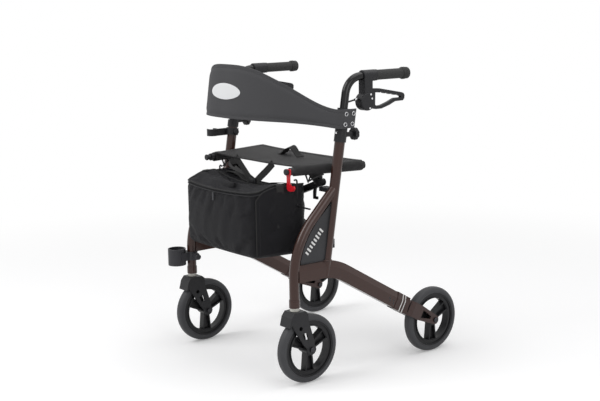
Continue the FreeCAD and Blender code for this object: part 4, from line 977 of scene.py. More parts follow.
@dataclass
class SlingSeat:
    """The sling between the two rails, its sleeves, pull strap and front straps."""

    rail_front: Vector = field(default_factory=lambda: Vector((0.203, -0.223, 0.600)))
    rail_rear: Vector = field(default_factory=lambda: Vector((0.246, 0.008, 0.600)))
    cloth_front: float = -0.208
    cloth_rear: float = 0.006
    sleeve: float = 0.0132
    sleeve_end: float = 0.0144
    cloth: float = 0.0030
    sag: float = 0.0035
    strap_width: float = 0.025

    def rail_x(self, y: float) -> float:
        """How far out the left rail is at a distance along the seat."""
        share = (y - self.rail_front.y) / (self.rail_rear.y - self.rail_front.y)
        return self.rail_front.x + share * (self.rail_rear.x - self.rail_front.x)

    def top(self, x: float, y: float) -> float:
        """The height of the middle of the cloth's thickness."""
        out = min(abs(x) / self.rail_x(y), 1.0)
        ridge = 0.0005 * math.sin(95 * y + 9 * x) * math.sin(math.pi * out)
        return self.rail_front.z + self.sleeve - self.cloth / 2 + 0.0006 - self.sag * (1 - out ** 3) + ridge

    def build(self) -> None:
        """Makes the seat and its straps."""
        for side in Side:
            self.build_half(side)
        self.build_pull_strap()
        self.build_front_straps()

    def build_half(self, side: Side) -> None:
        """One half of the sling with its sleeve round the rail."""
        fold = Fold.SEAT_LEFT if side is Side.LEFT else Fold.SEAT_RIGHT
        arm = fold.value[0]
        sign = side.value

        def place(u: float, v: float) -> Vector:
            share = u if side is Side.RIGHT else 1 - u
            y = self.cloth_front + (self.cloth_rear - self.cloth_front) * v
            x = sign * self.rail_x(y) * share
            return Vector((x, y, self.top(x, y)))

        def placed(u: float, v: float) -> Vector:
            return place(1 - u, v)

        width = self.rail_x(-0.1)
        cloth = shaped_grid("sling_half_" + side.word, 48, 48, placed, (width, 0.214))
        apply(cloth, "SOLIDIFY", thickness=self.cloth, offset=0.0)
        apply(cloth, "BEVEL", width=0.0011, segments=2, limit_method="ANGLE",
              angle_limit=math.radians(50))
        smooth(cloth, 50)
        fit_soft(cloth, fold, SEAT_CLOTH)
        if side is Side.LEFT:
            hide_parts("seat_sling")
        self.sew_hems(side, fold)

        axis = Line([Vector((sign * self.rail_front.x, self.rail_front.y + 0.010, self.rail_front.z)),
                     Vector((sign * (self.rail_rear.x + 0.0006), self.rail_rear.y + 0.004,
                             self.rail_rear.z))])
        across = UP.cross(axis.along(0.5)).normalized()

        def ring(u: float, v: float) -> Vector:
            angle = math.tau * u
            cap = min(max((v - 0.94) / 0.06, 0.0), 1.0)
            radius = self.sleeve + (self.sleeve_end - self.sleeve) * v
            radius *= max(1 - cap ** 2.4, 0.0) ** 0.5 if v < 0.9999 else 0.0
            radius += 0.0003 * math.sin(60 * v) * math.cos(angle)
            low = 1.0 + 0.10 * max(-math.sin(angle), 0.0)
            return axis.at(v) + across * (radius * math.cos(angle)) + UP * (radius * low * math.sin(angle))

        sleeve = shaped_grid("rail_sleeve_" + side.word, 36, 70, ring, (0.09, 0.23), closed=True)
        heal(sleeve)
        apply(sleeve, "SOLIDIFY", thickness=0.0016, offset=-1.0)
        smooth(sleeve, 50)
        fit(sleeve, arm, SEAT_CLOTH)

        def seam(share: float) -> tuple[Vector, Vector]:
            y = self.cloth_front + 0.006 + (self.cloth_rear - self.cloth_front - 0.012) * share
            x = sign * (self.rail_x(y) - 0.021)
            return Vector((x, y, self.top(x, y) + self.cloth / 2 + 0.0001)), UP

        rail_seam = stitches("sleeve_seam_" + side.word, seam_places(seam, 0.2, 0.005), 0.0034)
        fit_soft(rail_seam, fold, THREAD)

    def sew_hems(self, side: Side, fold: Fold) -> None:
        """The folded hems at the front and the rear edge, with their stitches."""
        for word, edge, way in (("front", self.cloth_front, 1), ("rear", self.cloth_rear, -1)):
            def place(u: float, v: float, edge: float = edge, way: int = way) -> Vector:
                y = edge + way * 0.017 * (v if way > 0 else 1 - v)
                x = side.value * self.rail_x(y) * 0.995 * (u if side is Side.LEFT else 1 - u)
                return Vector((x, y, self.top(x, y) + self.cloth / 2 + 0.0003))

            hem = shaped_grid("hem_" + word + "_" + side.word, 44, 3, place, (0.2, 0.017))
            apply(hem, "SOLIDIFY", thickness=0.0009, offset=0.0)
            fit_soft(smooth(hem, 40), fold, SEAT_CLOTH)

            def seam(share: float, edge: float = edge, way: int = way) -> tuple[Vector, Vector]:
                y = edge + way * 0.0135
                x = side.value * self.rail_x(y) * 0.98 * share
                return Vector((x, y, self.top(x, y) + self.cloth / 2 + 0.0008)), UP

            sewn = stitches("hem_stitches_" + word + "_" + side.word, seam_places(seam, 0.2, 0.005), 0.0034)
            fit_soft(sewn, fold, THREAD)

    def build_pull_strap(self) -> None:
        """The loop in the middle that is pulled up to fold the walker."""
        y = middle_of("pull_strap").y
        base = self.top(0.0, y) + self.cloth / 2 + 0.0012
        rises = ((-0.052, 0.0), (-0.046, 0.0), (-0.034, 0.0035), (-0.018, 0.0165), (-0.003, 0.0245),
                 (0.012, 0.0235), (0.026, 0.0125), (0.037, 0.0028), (0.046, 0.0), (0.052, 0.0))
        line = smooth_line([Vector((x, y, base + rise)) for x, rise in rises])

        def across(share: float) -> Vector:
            return Vector((0.22 * math.sin(math.tau * share), 1.0, 0.30 * math.sin(math.pi * share)))

        loop = strap("pull_loop", line, across, self.strap_width, 0.0019)
        fit_soft(loop, Fold.SEAT_LEFT, WEBBING)
        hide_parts("pull_strap")
        for sign in (-1, 1):
            box = []
            for x0, x1, dy in ((0.040, 0.050, -0.009), (0.040, 0.050, 0.009)):
                for i in range(3):
                    x = sign * (x0 + (x1 - x0) * i / 2)
                    box.append((Vector((x, y + dy, base + 0.0011)), Vector((1, 0, 0)), UP))
            sewn = stitches("pull_stitches_" + ("left" if sign > 0 else "right"), box, 0.0034)
            fit_soft(sewn, Fold.SEAT_LEFT, THREAD)

    def build_front_straps(self) -> None:
        """The two straps from the seat's front hem to the buckle over the bag."""
        low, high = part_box("v_straps")
        y = high[1] - 0.0015
        parts = []
        for sign in (-1, 1):
            top = Vector((sign * 0.095, y, high[2] - 0.0004))
            foot = Vector((sign * 0.006, y - 0.0035, low[2] + 0.006))
            line = smooth_line([top, top.lerp(foot, 0.35) + Vector((0, 0.0006, -0.001)),
                                top.lerp(foot, 0.7), foot])
            across = (foot - top).cross(Vector((0.0, 1.0, 0.0)))
            parts.append(strap("front_strap", line, lambda share, across=across: across, 0.022, 0.0018))
        straps = gather("front_straps", parts)
        fit_soft(straps, Fold.BAG, WEBBING)
        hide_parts("v_straps")
        clasp = block("strap_buckle", (-0.015, y - 0.0105, low[2] + 0.002),
                      (0.015, y - 0.0045, low[2] + 0.020), 0.0018)
        fit_soft(clasp, Fold.BAG, BLACK_MOULDED)
        tongue = block("buckle_tongue", (-0.009, y - 0.012, low[2] + 0.006),
                       (0.009, y - 0.0095, low[2] + 0.017), 0.001)
        fit_soft(tongue, Fold.BAG, BLACK_MOULDED)


# ------------------------------------------------------------------ bag

def settle_cloth(piece: Piece, held: Callable[[Vector, int], float], pressure: float, slack: float,
                 cap: float) -> None:
    """Lets a sewn panel fill and wrinkle, and keeps the result in its mesh.

    Args:
        piece: The panel, whose held points stay where they are.
        held: How firmly a point is held, from its place and number.
        pressure: The push from inside.
        slack: The share by which the cloth is larger than its seams.
        cap: How far a point may move.
    """
    start = [vertex.co.copy() for vertex in piece.data.vertices]
    pins = piece.vertex_groups.new(name="pins")
    for vertex in piece.data.vertices:
        pins.add([vertex.index], held(vertex.co, vertex.index), "REPLACE")
    select_only(piece)
    cloth = piece.modifiers.new("settle", "CLOTH")
    rules = cloth.settings
    rules.quality = 6
    rules.mass = 0.2
    rules.tension_stiffness = rules.compression_stiffness = 12.0
    rules.bending_stiffness = 0.35
    rules.vertex_group_mass = "pins"
    rules.use_pressure = True
    rules.uniform_pressure_force = pressure
    rules.shrink_min = -slack
    rules.effector_weights.gravity = 0.0
    cloth.point_cache.frame_start = 1
    cloth.point_cache.frame_end = 24
    for frame_number in range(1, 25):
        bpy.context.scene.frame_set(frame_number)
    bpy.ops.object.modifier_apply(modifier=cloth.name)
    bpy.context.scene.frame_set(1)
    for vertex, rest in zip(piece.data.vertices, start):
        move = vertex.co - rest
        if move.length > cap:
            vertex.co = rest + move * (cap / move.length)


@dataclass
class CarryBag:
    """The zipped bag under the seat: body, top cover, side panels, webbing and seams."""

    front: float = -0.333
    rear: float = -0.159
    front_half: float = 0.174
    rear_half: float = 0.1982
    low: float = 0.357
    corner: float = 0.024
    bulge: float = 0.014
    lid_rear: float = -0.2175
    wall: float = 0.0022
    cells: int = 132

    def __post_init__(self) -> None:
        """Lays out the bag's edge and the cover's edge in plan."""
        self.plan = self.outline(self.front, self.rear, 0.0, self.corner)
        self.lid_plan = self.outline(self.front, self.lid_rear, -0.001, 0.006)

    def half(self, y: float) -> float:
        """Half the bag's width at a distance along it."""
        share = (y - self.front) / (self.rear - self.front)
        return self.front_half + (self.rear_half - self.front_half) * share

    def outline(self, front: float, rear: float, grow: float, rear_corner: float) -> Line:
        """The closed outline between two distances along the bag."""
        corners = [Vector((-self.half(front) - grow, front, 0)), Vector((self.half(front) + grow, front, 0)),
                   Vector((self.half(rear) + grow, rear, 0)), Vector((-self.half(rear) - grow, rear, 0))]
        return rounded_line(corners, [self.corner, self.corner, rear_corner, rear_corner], closed=True)

    def rim(self, point: Vector) -> float:
        """The height of the bag's upper edge at a place in plan: it rises to the rear corners."""
        back = (point.y - self.front) / (self.rear - self.front)
        out = min(abs(point.x) / self.half(point.y), 1.0)
        lift = min(max(back / 0.42, 0.0), 1.0)
        return 0.538 + 0.007 * out ** 2 + 0.017 * lift ** 2 * (3 - 2 * lift) * out ** 2.5

    def outward(self, share: float) -> Vector:
        """The direction out of the bag at a share of its outline."""
        along = self.plan.at(share + 0.003 if share < 0.997 else share) - self.plan.at(max(share - 0.003, 0))
        return Vector((along.y, -along.x, 0.0)).normalized()

    def side_point(self, share: float, rise: float, lift: float = 0.0) -> Vector:
        """A point of the bag's side.

        Args:
            share: Round the outline, from the front right corner along the front.
            rise: From the bottom to the upper edge.
            lift: How far out from the cloth.

        Returns:
            The point.
        """
        point = self.plan.at(share)
        out = self.outward(share)
        ahead = max(-out.y, 0.0) ** 2 * (1 - min(abs(point.x) / self.front_half, 1.0) ** 2.4)
        aside = abs(out.x) ** 2 * (1 - (2 * (point.y - self.front) / (self.rear - self.front) - 1) ** 2)
        swell = math.sin(math.pi * (0.1 + 0.72 * rise)) ** 0.7
        push = (self.bulge * ahead + 0.004 * aside) * swell
        folds = math.sin(point.x * 128 + 2.1 * math.sin(5 * rise) + 0.6) * (0.35 + 0.65 * rise)
        folds += 0.6 * math.sin(point.x * 71 - 3.0 * rise)
        push += 0.0011 * folds * ahead * math.sin(math.pi * min(rise * 1.08, 1.0))
        foot = max(1 - rise / 0.07, 0.0) ** 2
        push += lift - 0.010 * foot
        z = self.low + (self.rim(point) - self.low) * rise
        return Vector((point.x, point.y, z)) + out * push

    def build(self) -> None:
        """Makes the bag and all that is sewn to it."""
        body = shaped_grid("bag_body", self.cells, 30, self.side_point, (self.plan.length, 0.18), closed=True)
        pinned = self.plan

        def held(place: Vector, _: int) -> float:
            rise = (place.z - self.low) / (self.rim(place) - self.low)
            edge = 1.0 if rise < 0.03 or rise > 0.96 else 0.0
            near_front = abs(abs(place.x) - self.front_half) < 0.010 and place.y < self.front + 0.03
            near_rear = abs(place.x) > self.rear_half - 0.012 and place.y > self.rear - 0.03
            return max(edge, 0.9 if near_front or near_rear else 0.0)

        settle_cloth(body, held, 0.6, 0.030, 0.007)
        base = shaped_grid("bag_base", self.cells, 8, self.base_point, (0.4, 0.16), closed=True)
        heal(base)
        if base.data.polygons[0].normal.z > 0:
            base.data.flip_normals()
        shell = gather("bag_cloth", [body, base])
        heal(shell, 0.0006)
        self.back_strip_join()
        apply(shell, "SOLIDIFY", thickness=self.wall, offset=-1.0)
        smooth(shell, 60)
        fit_soft(shell, Fold.BAG, BAG_CLOTH)
        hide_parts("bag_shell")
        LOG.info("the bag's outline is %.3f m long", pinned.length)
        self.build_cover()
        self.build_side_panels()
        self.build_webbing()
        self.build_carry_strap()

    def base_point(self, share: float, out: float) -> Vector:
        """A point of the bag's bottom, from its middle out to the foot of its side."""
        edge = self.side_point(share, 0.0)
        middle = Vector((0.0, (self.front + self.rear) / 2, self.low - 0.0015))
        return middle.lerp(edge, out)

    def back_strip_join(self) -> None:
        """Makes the strip behind the hinge line, a sheet of its own: the top ahead of it stays open."""
        def place(u: float, v: float) -> Vector:
            y = self.lid_rear + 0.001 + (self.rear - self.lid_rear - 0.002) * v
            corner = max(y - (self.rear - self.corner), 0.0)
            trim = self.corner - math.sqrt(max(self.corner ** 2 - corner ** 2, 0.0))
            x = (self.half(y) - trim - 0.0005) * (1 - 2 * u)
            dip = 0.0015 * math.sin(3.0 * math.pi * u) * math.sin(math.pi * v)
            return Vector((x, y, self.rim(Vector((x, y, 0))) + dip))

        strip = shaped_grid("bag_rear_strip", 60, 8, place, (0.39, 0.05))
        if strip.data.polygons[0].normal.z < 0:
            strip.data.flip_normals()
        apply(strip, "SOLIDIFY", thickness=self.wall, offset=-1.0)
        smooth(strip, 50)
        fit_soft(strip, Fold.BAG, BAG_CLOTH)

    def cover_point(self, share: float, out: float, lift: float = 0.0) -> Vector:
        """A point of the top cover.

        Args:
            share: Round the cover's outline.
            out: From the middle to the outline.
            lift: How far above the cloth.

        Returns:
            The point.
        """
        edge = self.lid_plan.at(share)
        middle = Vector((0.0, (self.front + self.lid_rear) / 2, 0.0))
        flat = middle.lerp(edge, out)
        ahead = max(1 - abs(edge.x) / self.front_half, 0.0) ** 0.5 if edge.y < self.front + 0.003 else 0.0
        flat.y -= 0.013 * ahead * out ** 3
        rim = self.rim(edge) + 0.0016
        sag = 0.0105 * (1 - out ** 2.2) * (0.35 + 0.65 * min(abs(edge.x) / self.front_half, 1.0))
        crease = 0.0012 * math.sin(52 * flat.x + 24 * flat.y) * math.sin(math.pi * out)
        crease += 0.0008 * math.sin(140 * flat.y - 20 * flat.x) * math.sin(math.pi * out)
        floor = 0.5375
        return Vector((flat.x, flat.y, max(rim - sag + crease, floor) + lift))

    def build_cover(self) -> None:
        """The zipped top cover, which opens on its rear edge."""
        cover = shaped_grid("bag_cover", self.cells, 20, self.cover_point, (1.0, 0.12), closed=True)
        heal(cover)
        if sum(face.normal.z for face in cover.data.polygons) < 0:
            cover.data.flip_normals()
        settle_cloth(cover, lambda place, index: 1.0 if self.edge_gap(place) < 0.006 else 0.0, -0.15, 0.012,
                     0.004)
        apply(cover, "SOLIDIFY", thickness=self.wall, offset=-1.0)
        smooth(cover, 60)
        fit_soft(cover, Fold.LID, BAG_CLOTH)
        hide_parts("bag_lid")
        count = 150
        rim = [self.cover_point(i / count, 1.0, 0.0002) for i in range(count)]
        fit_soft(tube("cover_piping", rim, 0.0019, closed=True), Fold.LID, WEBBING)
        zip_line = [self.side_point(i / count, 0.965, 0.0014) for i in range(count)]
        front_part = [point for point in zip_line if point.y < self.lid_rear + 0.02]
        start = max(range(len(front_part)), key=lambda i: (front_part[i] - front_part[i - 1]).length)
        front_part = front_part[start:] + front_part[:start]
        fit_soft(tube("zip_coil", front_part, 0.0015), Fold.BAG, BLACK_MOULDED)
        puller = block("zip_puller", (-0.004, self.front - self.bulge - 0.0062, 0.507),
                       (0.004, self.front - self.bulge - 0.0042, 0.531), 0.0007)
        fit_soft(puller, Fold.BAG, DARK_STEEL)

        def seam(share: float) -> tuple[Vector, Vector]:
            return self.cover_point(share, 0.86, 0.0006), UP

        sewn = stitches("cover_stitches", seam_places(seam, self.lid_plan.length * 0.86, 0.006), 0.004)
        fit_soft(sewn, Fold.LID, THREAD)

    def edge_gap(self, place: Vector) -> float:
        """How far a point of the cover is from its outline, measured across the cover."""
        return min(self.half(place.y) - abs(place.x), place.y - self.front + 0.013, self.lid_rear - place.y)

    def panel_share(self, along: float) -> float:
        """The share of the outline at a share of the left side panel, from front to rear."""
        turn = math.radians(60)
        start = self.share_near(Vector((self.front_half - self.corner * (1 - math.sin(turn)),
                                        self.front + self.corner * (1 - math.cos(turn)), 0)))
        end = self.share_near(Vector((self.rear_half, self.rear - self.corner, 0)))
        return start + (end - start) * along

    def share_near(self, goal: Vector) -> float:
        """The share of the outline nearest to a place in plan."""
        return min((i / 600 for i in range(600)), key=lambda share: (self.plan.at(share) - goal).length)

    def build_side_panels(self) -> None:
        """The stiff side panels, with a bound edge at the front and along the top."""
        first, last = self.panel_share(0.0), self.panel_share(1.0)

        def place(u: float, v: float) -> Vector:
            share = first + (last - first) * u
            top = 0.985 - 0.10 * max(1 - u / 0.16, 0.0) ** 2.2
            return self.side_point(share, 0.02 + (top - 0.02) * v, 0.0036)

        panel = shaped_grid("side_panel_left", 30, 26, place, (0.14, 0.18))
        apply(panel, "SOLIDIFY", thickness=0.0022, offset=-1.0)
        apply(panel, "BEVEL", width=0.0007, segments=2, limit_method="ANGLE")
        smooth(panel, 50)
        edge = [place(0.0, v / 20) for v in range(21)] + [place(u / 24, 1.0) for u in range(1, 25)]
        piping = tube("panel_piping_left", edge, 0.0016)

        def seam(share: float) -> tuple[Vector, Vector]:
            spot = first + (last - first) * 0.06
            return self.side_point(spot, 0.06 + 0.80 * share, 0.0038), self.outward(spot)

        sewn = stitches("panel_stitches_left", seam_places(seam, 0.14, 0.005), 0.0034)
        for piece, finish in ((panel, BAG_CLOTH), (piping, WEBBING), (sewn, THREAD)):
            image = mirrored(piece, piece.name.replace("left", "right"))
            fit_soft(piece, Fold.BAG, finish)
            fit_soft(image, Fold.BAG, finish)

    def build_webbing(self) -> None:
        """The webbing down each side, which holds the hanging loop."""
        spot = self.share_near(Vector((self.half(-0.252), -0.252, 0)))
        out = self.outward(spot)
        rises = [0.41, 0.55, 0.70, 0.83, 0.93, 0.985]
        points = [self.side_point(spot, rise, 0.0056) for rise in rises]
        over = points[-1] + Vector((-0.002, 0.0, 0.0058))
        points += [over, over + Vector((-0.014, 0.0, -0.0012))]
        line = smooth_line(points)
        along = UP.cross(out)
        webbing = strap("side_webbing_left", line, lambda share: along, 0.023, 0.0017)
        places = []
        for rise in (0.43, 0.69):
            foot = self.side_point(spot, rise, 0.0068)
            places += [(foot + along * (0.0035 * (i - 2)), along, out) for i in range(5)]
        sewn = stitches("webbing_stitches_left", places, 0.0028)
        for piece, finish in ((webbing, WEBBING), (sewn, THREAD)):
            image = mirrored(piece, piece.name.replace("left", "right"))
            fit_soft(piece, Fold.BAG, finish)
            fit_soft(image, Fold.BAG, finish)

    def build_carry_strap(self) -> None:
        """The strap that lies over the rear of the bag."""
        rises = ((-0.160, -0.186, 0.0035), (-0.125, -0.190, 0.0115), (-0.085, -0.197, 0.0145),
                 (-0.045, -0.199, 0.0045), (0.0, -0.198, 0.0035), (0.045, -0.197, 0.004),
                 (0.090, -0.193, 0.0085), (0.125, -0.189, 0.0075), (0.160, -0.186, 0.0035))
        line = smooth_line([Vector((x, y, self.rim(Vector((x, y, 0))) + rise)) for x, y, rise in rises])
        carry = strap("carry_strap", line, lambda share: Vector((0.0, 1.0, -0.15)), 0.024, 0.0022)
        fit_soft(carry, Fold.BAG, WEBBING)


# ------------------------------------------------------------------ wheels

@dataclass
class RollingWheels:
    """The four tyres, with a rounded tread and ribbed side walls."""

    outer: float = 0.100
    half_width: float = 0.015
    seat: float = 0.0822
    steps: int = 112

    def section(self) -> list[tuple[float, float]]:
        """The tyre's section as (radius, distance along the axle), once round."""
        wall = [(self.seat, 0.0128), (self.seat + 0.0010, 0.0146), (self.seat + 0.0024, 0.0150),
                (self.seat + 0.0034, 0.0143), (self.seat + 0.0044, 0.0150), (0.0905, self.half_width),
                (0.0935, 0.0142), (0.0962, 0.0126), (0.0982, 0.0102), (0.0994, 0.0071), (0.0999, 0.0036)]
        mirror = [(radius, -along) for radius, along in reversed(wall)]
        return wall + [(self.outer, 0.0)] + mirror

    def build(self, frame: dict) -> None:
        """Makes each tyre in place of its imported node."""
        for side in Side:
            for node, joint, body in (("rear_tyre_", "rear_wheel_spin_", "rear_wheel_"),
                                      ("caster_tyre_", "front_wheel_spin_", "front_wheel_")):
                hub = joint_at(frame, joint + side.word)
                tyre = spun_ring(node.replace("_tyre_", "_tread_") + side.word, self.section(), hub,
                                 self.steps)
                fit(tyre, body + side.word, TYRE)
                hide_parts(node + side.word)


# ------------------------------------------------------------------ side frames

def cut_from_node(name: str, node: str, planes: Sequence[tuple[Vector, Vector]], lift: float) -> Piece:
    """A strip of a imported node's outer skin between planes, lifted off it a little.

    Args:
        name: The strip's name.
        node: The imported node.
        planes: Points and normals, each of which keeps what is ahead of it.
        lift: How far the strip stands off the skin.

    Returns:
        The strip, as an open skin.
    """
    source = bpy.data.objects[node]
    piece = bpy.data.objects.new(name, source.data.copy())
    piece.data.name = name
    bpy.context.scene.collection.objects.link(piece)
    skin = bmesh.new()
    skin.from_mesh(piece.data)
    bmesh.ops.remove_doubles(skin, verts=skin.verts, dist=0.00002)
    for point, normal in planes:
        everything = list(skin.verts) + list(skin.edges) + list(skin.faces)
        bmesh.ops.bisect_plane(skin, geom=everything, plane_co=point, plane_no=normal, clear_inner=True)
    skin.normal_update()
    middle = sum((vertex.co for vertex in skin.verts), Vector()) / max(len(skin.verts), 1)
    inner = [face for face in skin.faces if face.normal.dot(face.calc_center_median() - middle) <= 0.0]
    bmesh.ops.delete(skin, geom=inner, context="FACES")
    skin.normal_update()
    for vertex in skin.verts:
        vertex.co += vertex.normal * lift
    skin.to_mesh(piece.data)
    skin.free()
    return piece


@dataclass
class SideFrames:
    """Trim on the two side frames: panels, stripes, collars and small fasteners."""

    side_x: float = 0.267
    slope: float = math.radians(30.6)
    arm_end: tuple[float, float] = (0.105, 0.1735)
    stripe_at: tuple[float, float] = (0.0220, 0.0340)
    stripe_wide: float = 0.0032
    bars: int = 8
    bar_turn: float = math.radians(48.3)
    bar_middle: tuple[float, float] = (-0.1985, 0.4060)
    bar_pitch: float = 0.0112
    bar_long: float = 0.0165
    lean: float = math.radians(9.45)

    def slope_point(self, s: float, v: float, x: float) -> Vector:
        """A point in the sloping arm's own frame: s down the slope, v square to it."""
        y = self.arm_end[0] + s * math.cos(self.slope) + v * math.sin(self.slope)
        z = self.arm_end[1] - s * math.sin(self.slope) + v * math.cos(self.slope)
        return Vector((x, y, z))

    def build(self) -> None:
        """Makes the trim of both sides."""
        for side in Side:
            self.add_stripes(side)
            self.add_panel_faces(side)
            self.add_foot_ring(side)
            self.add_arm_screws(side)

    def add_stripes(self, side: Side) -> None:
        """The two pale reflective stripes round the rear fork's sleeve."""
        down = Vector((0, math.cos(self.slope), -math.sin(self.slope)))
        strips = []
        for place in self.stripe_at:
            start = self.slope_point(place - self.stripe_wide / 2, 0, 0)
            end = self.slope_point(place + self.stripe_wide / 2, 0, 0)
            strip = cut_from_node("stripe", "rear_fork_" + side.word, [(start, down), (end, -down)], 0.0001)
            apply(strip, "SOLIDIFY", thickness=0.0003, offset=1.0)
            strips.append(strip)
        fit(gather("fork_stripes_" + side.word, strips), side.word + "_frame", REFLECTIVE)

    def add_panel_faces(self, side: Side) -> None:
        """A raised face on each side of the frame's panel, with bars on the outer one."""
        sign = side.value
        for word, way in (("outer", sign), ("inner", -sign)):
            face_x = self.side_x * sign + 0.0059 * way
            plate = cut_from_node("panel_face_" + word + "_" + side.word, "side_panel_" + side.word,
                                  [(Vector((face_x, 0, 0)), Vector((way, 0, 0)))], 0.0)
            select_only(plate)
            bpy.ops.object.mode_set(mode="EDIT")
            bpy.ops.mesh.select_all(action="SELECT")
            bpy.ops.mesh.dissolve_limited(angle_limit=0.02)
            bpy.ops.mesh.inset(thickness=0.0055, depth=0.0, use_outset=False)
            bpy.ops.mesh.select_all(action="INVERT")
            bpy.ops.mesh.delete(type="FACE")
            bpy.ops.object.mode_set(mode="OBJECT")
            apply(plate, "SOLIDIFY", thickness=0.0012, offset=1.0)
            apply(plate, "BEVEL", width=0.0006, segments=2, limit_method="ANGLE")
            fit(smooth(plate, 40), side.word + "_frame", GREY_MOULDED)
        bars = []
        turn = Matrix.Rotation(self.bar_turn, 4, "X")
        ahead = Vector((0.0, math.cos(self.bar_turn), math.sin(self.bar_turn)))
        for i in range(self.bars):
            long = self.bar_long * (1.0 if i % 2 else 0.8)
            middle = Vector((sign * (self.side_x + 0.0077), *self.bar_middle))
            middle += ahead * self.bar_pitch * (i - (self.bars - 1) / 2)
            bar = block("bar", (-0.0003, -0.0028, -long / 2), (0.0003, 0.0028, long / 2), 0.00025)
            bar.data.transform(Matrix.Translation(middle) @ turn)
            bars.append(bar)
        fit(gather("panel_bars_" + side.word, bars), side.word + "_frame", REFLECTIVE)

    def add_foot_ring(self, side: Side) -> None:
        """The raised ring where the post stands on the arm."""
        sign = side.value
        z = 0.3455
        y = -0.153 + (z - 0.331) * math.tan(self.lean)
        ring = []
        for i in range(40):
            angle = math.tau * i / 40
            dy = 0.0160 * math.sin(angle)
            ring.append(Vector((sign * self.side_x + 0.0160 * math.cos(angle), y + dy, z - 0.12 * dy)))
        fit(tube("post_foot_ring_" + side.word, ring, 0.0022, closed=True), side.word + "_frame", BRONZE)

    def add_arm_screws(self, side: Side) -> None:
        """Small screws on the arm just ahead of the rear fork."""
        sign = side.value
        heads = []
        for s, v in ((-0.030, 0.006), (-0.026, -0.001), (-0.012, 0.004), (-0.008, -0.004)):
            foot = self.slope_point(s, v, sign * (self.side_x + 0.0138))
            heads.append(dome("screw", foot, Vector((sign, 0, 0)), 0.0030, 0.0014))
        fit(gather("arm_screws_" + side.word, heads), side.word + "_frame", DARK_STEEL)


# ------------------------------------------------------------------ handles and brace

@dataclass
class HandleBrakes:
    """The ribbed grips, screws and cables of both handles."""

    side_x: float = 0.267
    grip_z: float = 0.859
    rib_start: float = 0.0435
    rib_end: float = 0.1385
    rib_radius: float = 0.01425
    ribs: int = 28
    screws: tuple[tuple[float, float], ...] = ((0.009, 0.806), (0.013, 0.794), (0.005, 0.767))
    collar_screw: tuple[float, float] = (-0.1090, 0.705)

    def build(self) -> None:
        """Makes both handles' fittings."""
        for side in Side:
            self.add_ribs(side)
            self.add_screws(side)
            self.add_cable(side)

    def add_ribs(self, side: Side) -> None:
        """The fluted sleeve of a grip."""
        centre = Vector((side.value * self.side_x, 0.0, self.grip_z))

        def place(u: float, v: float) -> Vector:
            angle = math.tau * u
            taper = min(v, 1 - v) * 30
            rib = 0.00040 * (0.5 + 0.5 * math.cos(self.ribs * angle)) * min(taper, 1.0)
            radius = self.rib_radius + rib - 0.0003 * (1 - min(taper, 1.0))
            y = self.rib_start + (self.rib_end - self.rib_start) * v
            return centre + Vector((radius * math.cos(angle), y, radius * math.sin(angle)))

        sleeve = shaped_grid("grip_ribs_" + side.word, self.ribs * 6, 34, place, (0.09, 0.095), closed=True)
        if sleeve.data.polygons[0].normal.dot(sleeve.data.polygons[0].center - centre) < 0:
            sleeve.data.flip_normals()
        apply(sleeve, "SOLIDIFY", thickness=0.0012, offset=-1.0)
        fit(smooth(sleeve, 60), "handle_" + side.word, GRIP)
        rings = []
        for y in (0.1425, 0.1465, 0.1505):
            turns = [math.tau * i / 36 for i in range(36)]
            hoop = [centre + Vector((0.0170 * math.cos(turn), y, 0.0170 * math.sin(turn))) for turn in turns]
            rings.append(tube("hoop", hoop, 0.0009, closed=True))
        fit(gather("grip_hoops_" + side.word, rings), "handle_" + side.word, GRIP)

    def add_screws(self, side: Side) -> None:
        """The bright screw heads on both faces of a brake housing, and one on the height collar."""
        low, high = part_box("brake_housing_" + side.word)
        heads = []
        for y, z in self.screws:
            for x, way in ((low[0] + 0.0006, -1), (high[0] - 0.0006, 1)):
                heads.append(dome("screw", Vector((x, y, z)), Vector((way, 0, 0)), 0.0029, 0.0013))
        fit(gather("housing_screws_" + side.word, heads), "handle_" + side.word, BRIGHT_STEEL)
        foot = Vector((side.value * self.side_x, *self.collar_screw))
        head = dome("screw", foot, Vector((0, -1, 0)), 0.0038, 0.0018)
        fit(gather("collar_screw_" + side.word, [head]), side.word + "_frame", BRIGHT_STEEL)

    def add_cable(self, side: Side) -> None:
        """The brake cable, a copy of the imported node with its adjuster in steel; it is not attached to the
        handle or the frame.
        """
        node = "brake_cable_" + side.word
        cable = bpy.data.objects[node].copy()
        cable.data = cable.data.copy()
        cable.name = "cable_" + side.word
        cable.data.name = cable.name
        cable.parent = None
        for key in list(cable.keys()):
            del cable[key]
        bpy.context.scene.collection.objects.link(cable)
        heal(cable)
        housing_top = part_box("brake_housing_" + side.word)[1][2]
        dress(cable, SHEATH)
        cable.data.materials.append(STEEL.material())
        for face in cable.data.polygons:
            spot = face.center
            if spot.z > 0.77 and -0.0410 < spot.y < -0.0255 and self.adjuster_skin(spot, side):
                face.material_index = 1
        smooth(cable, 50)
        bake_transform(cable)
        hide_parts(node)
        LOG.info("%s bends between the frame and the handle, under %.3f m", cable.name, housing_top)

    def adjuster_skin(self, spot: Vector, side: Side) -> bool:
        """Whether a point is on the adjuster, which is thicker than the cable."""
        axis_z = 0.7932 + (spot.y + 0.039) * -0.14
        return math.hypot(spot.x - side.value * self.side_x, spot.z - axis_z) > 0.0030


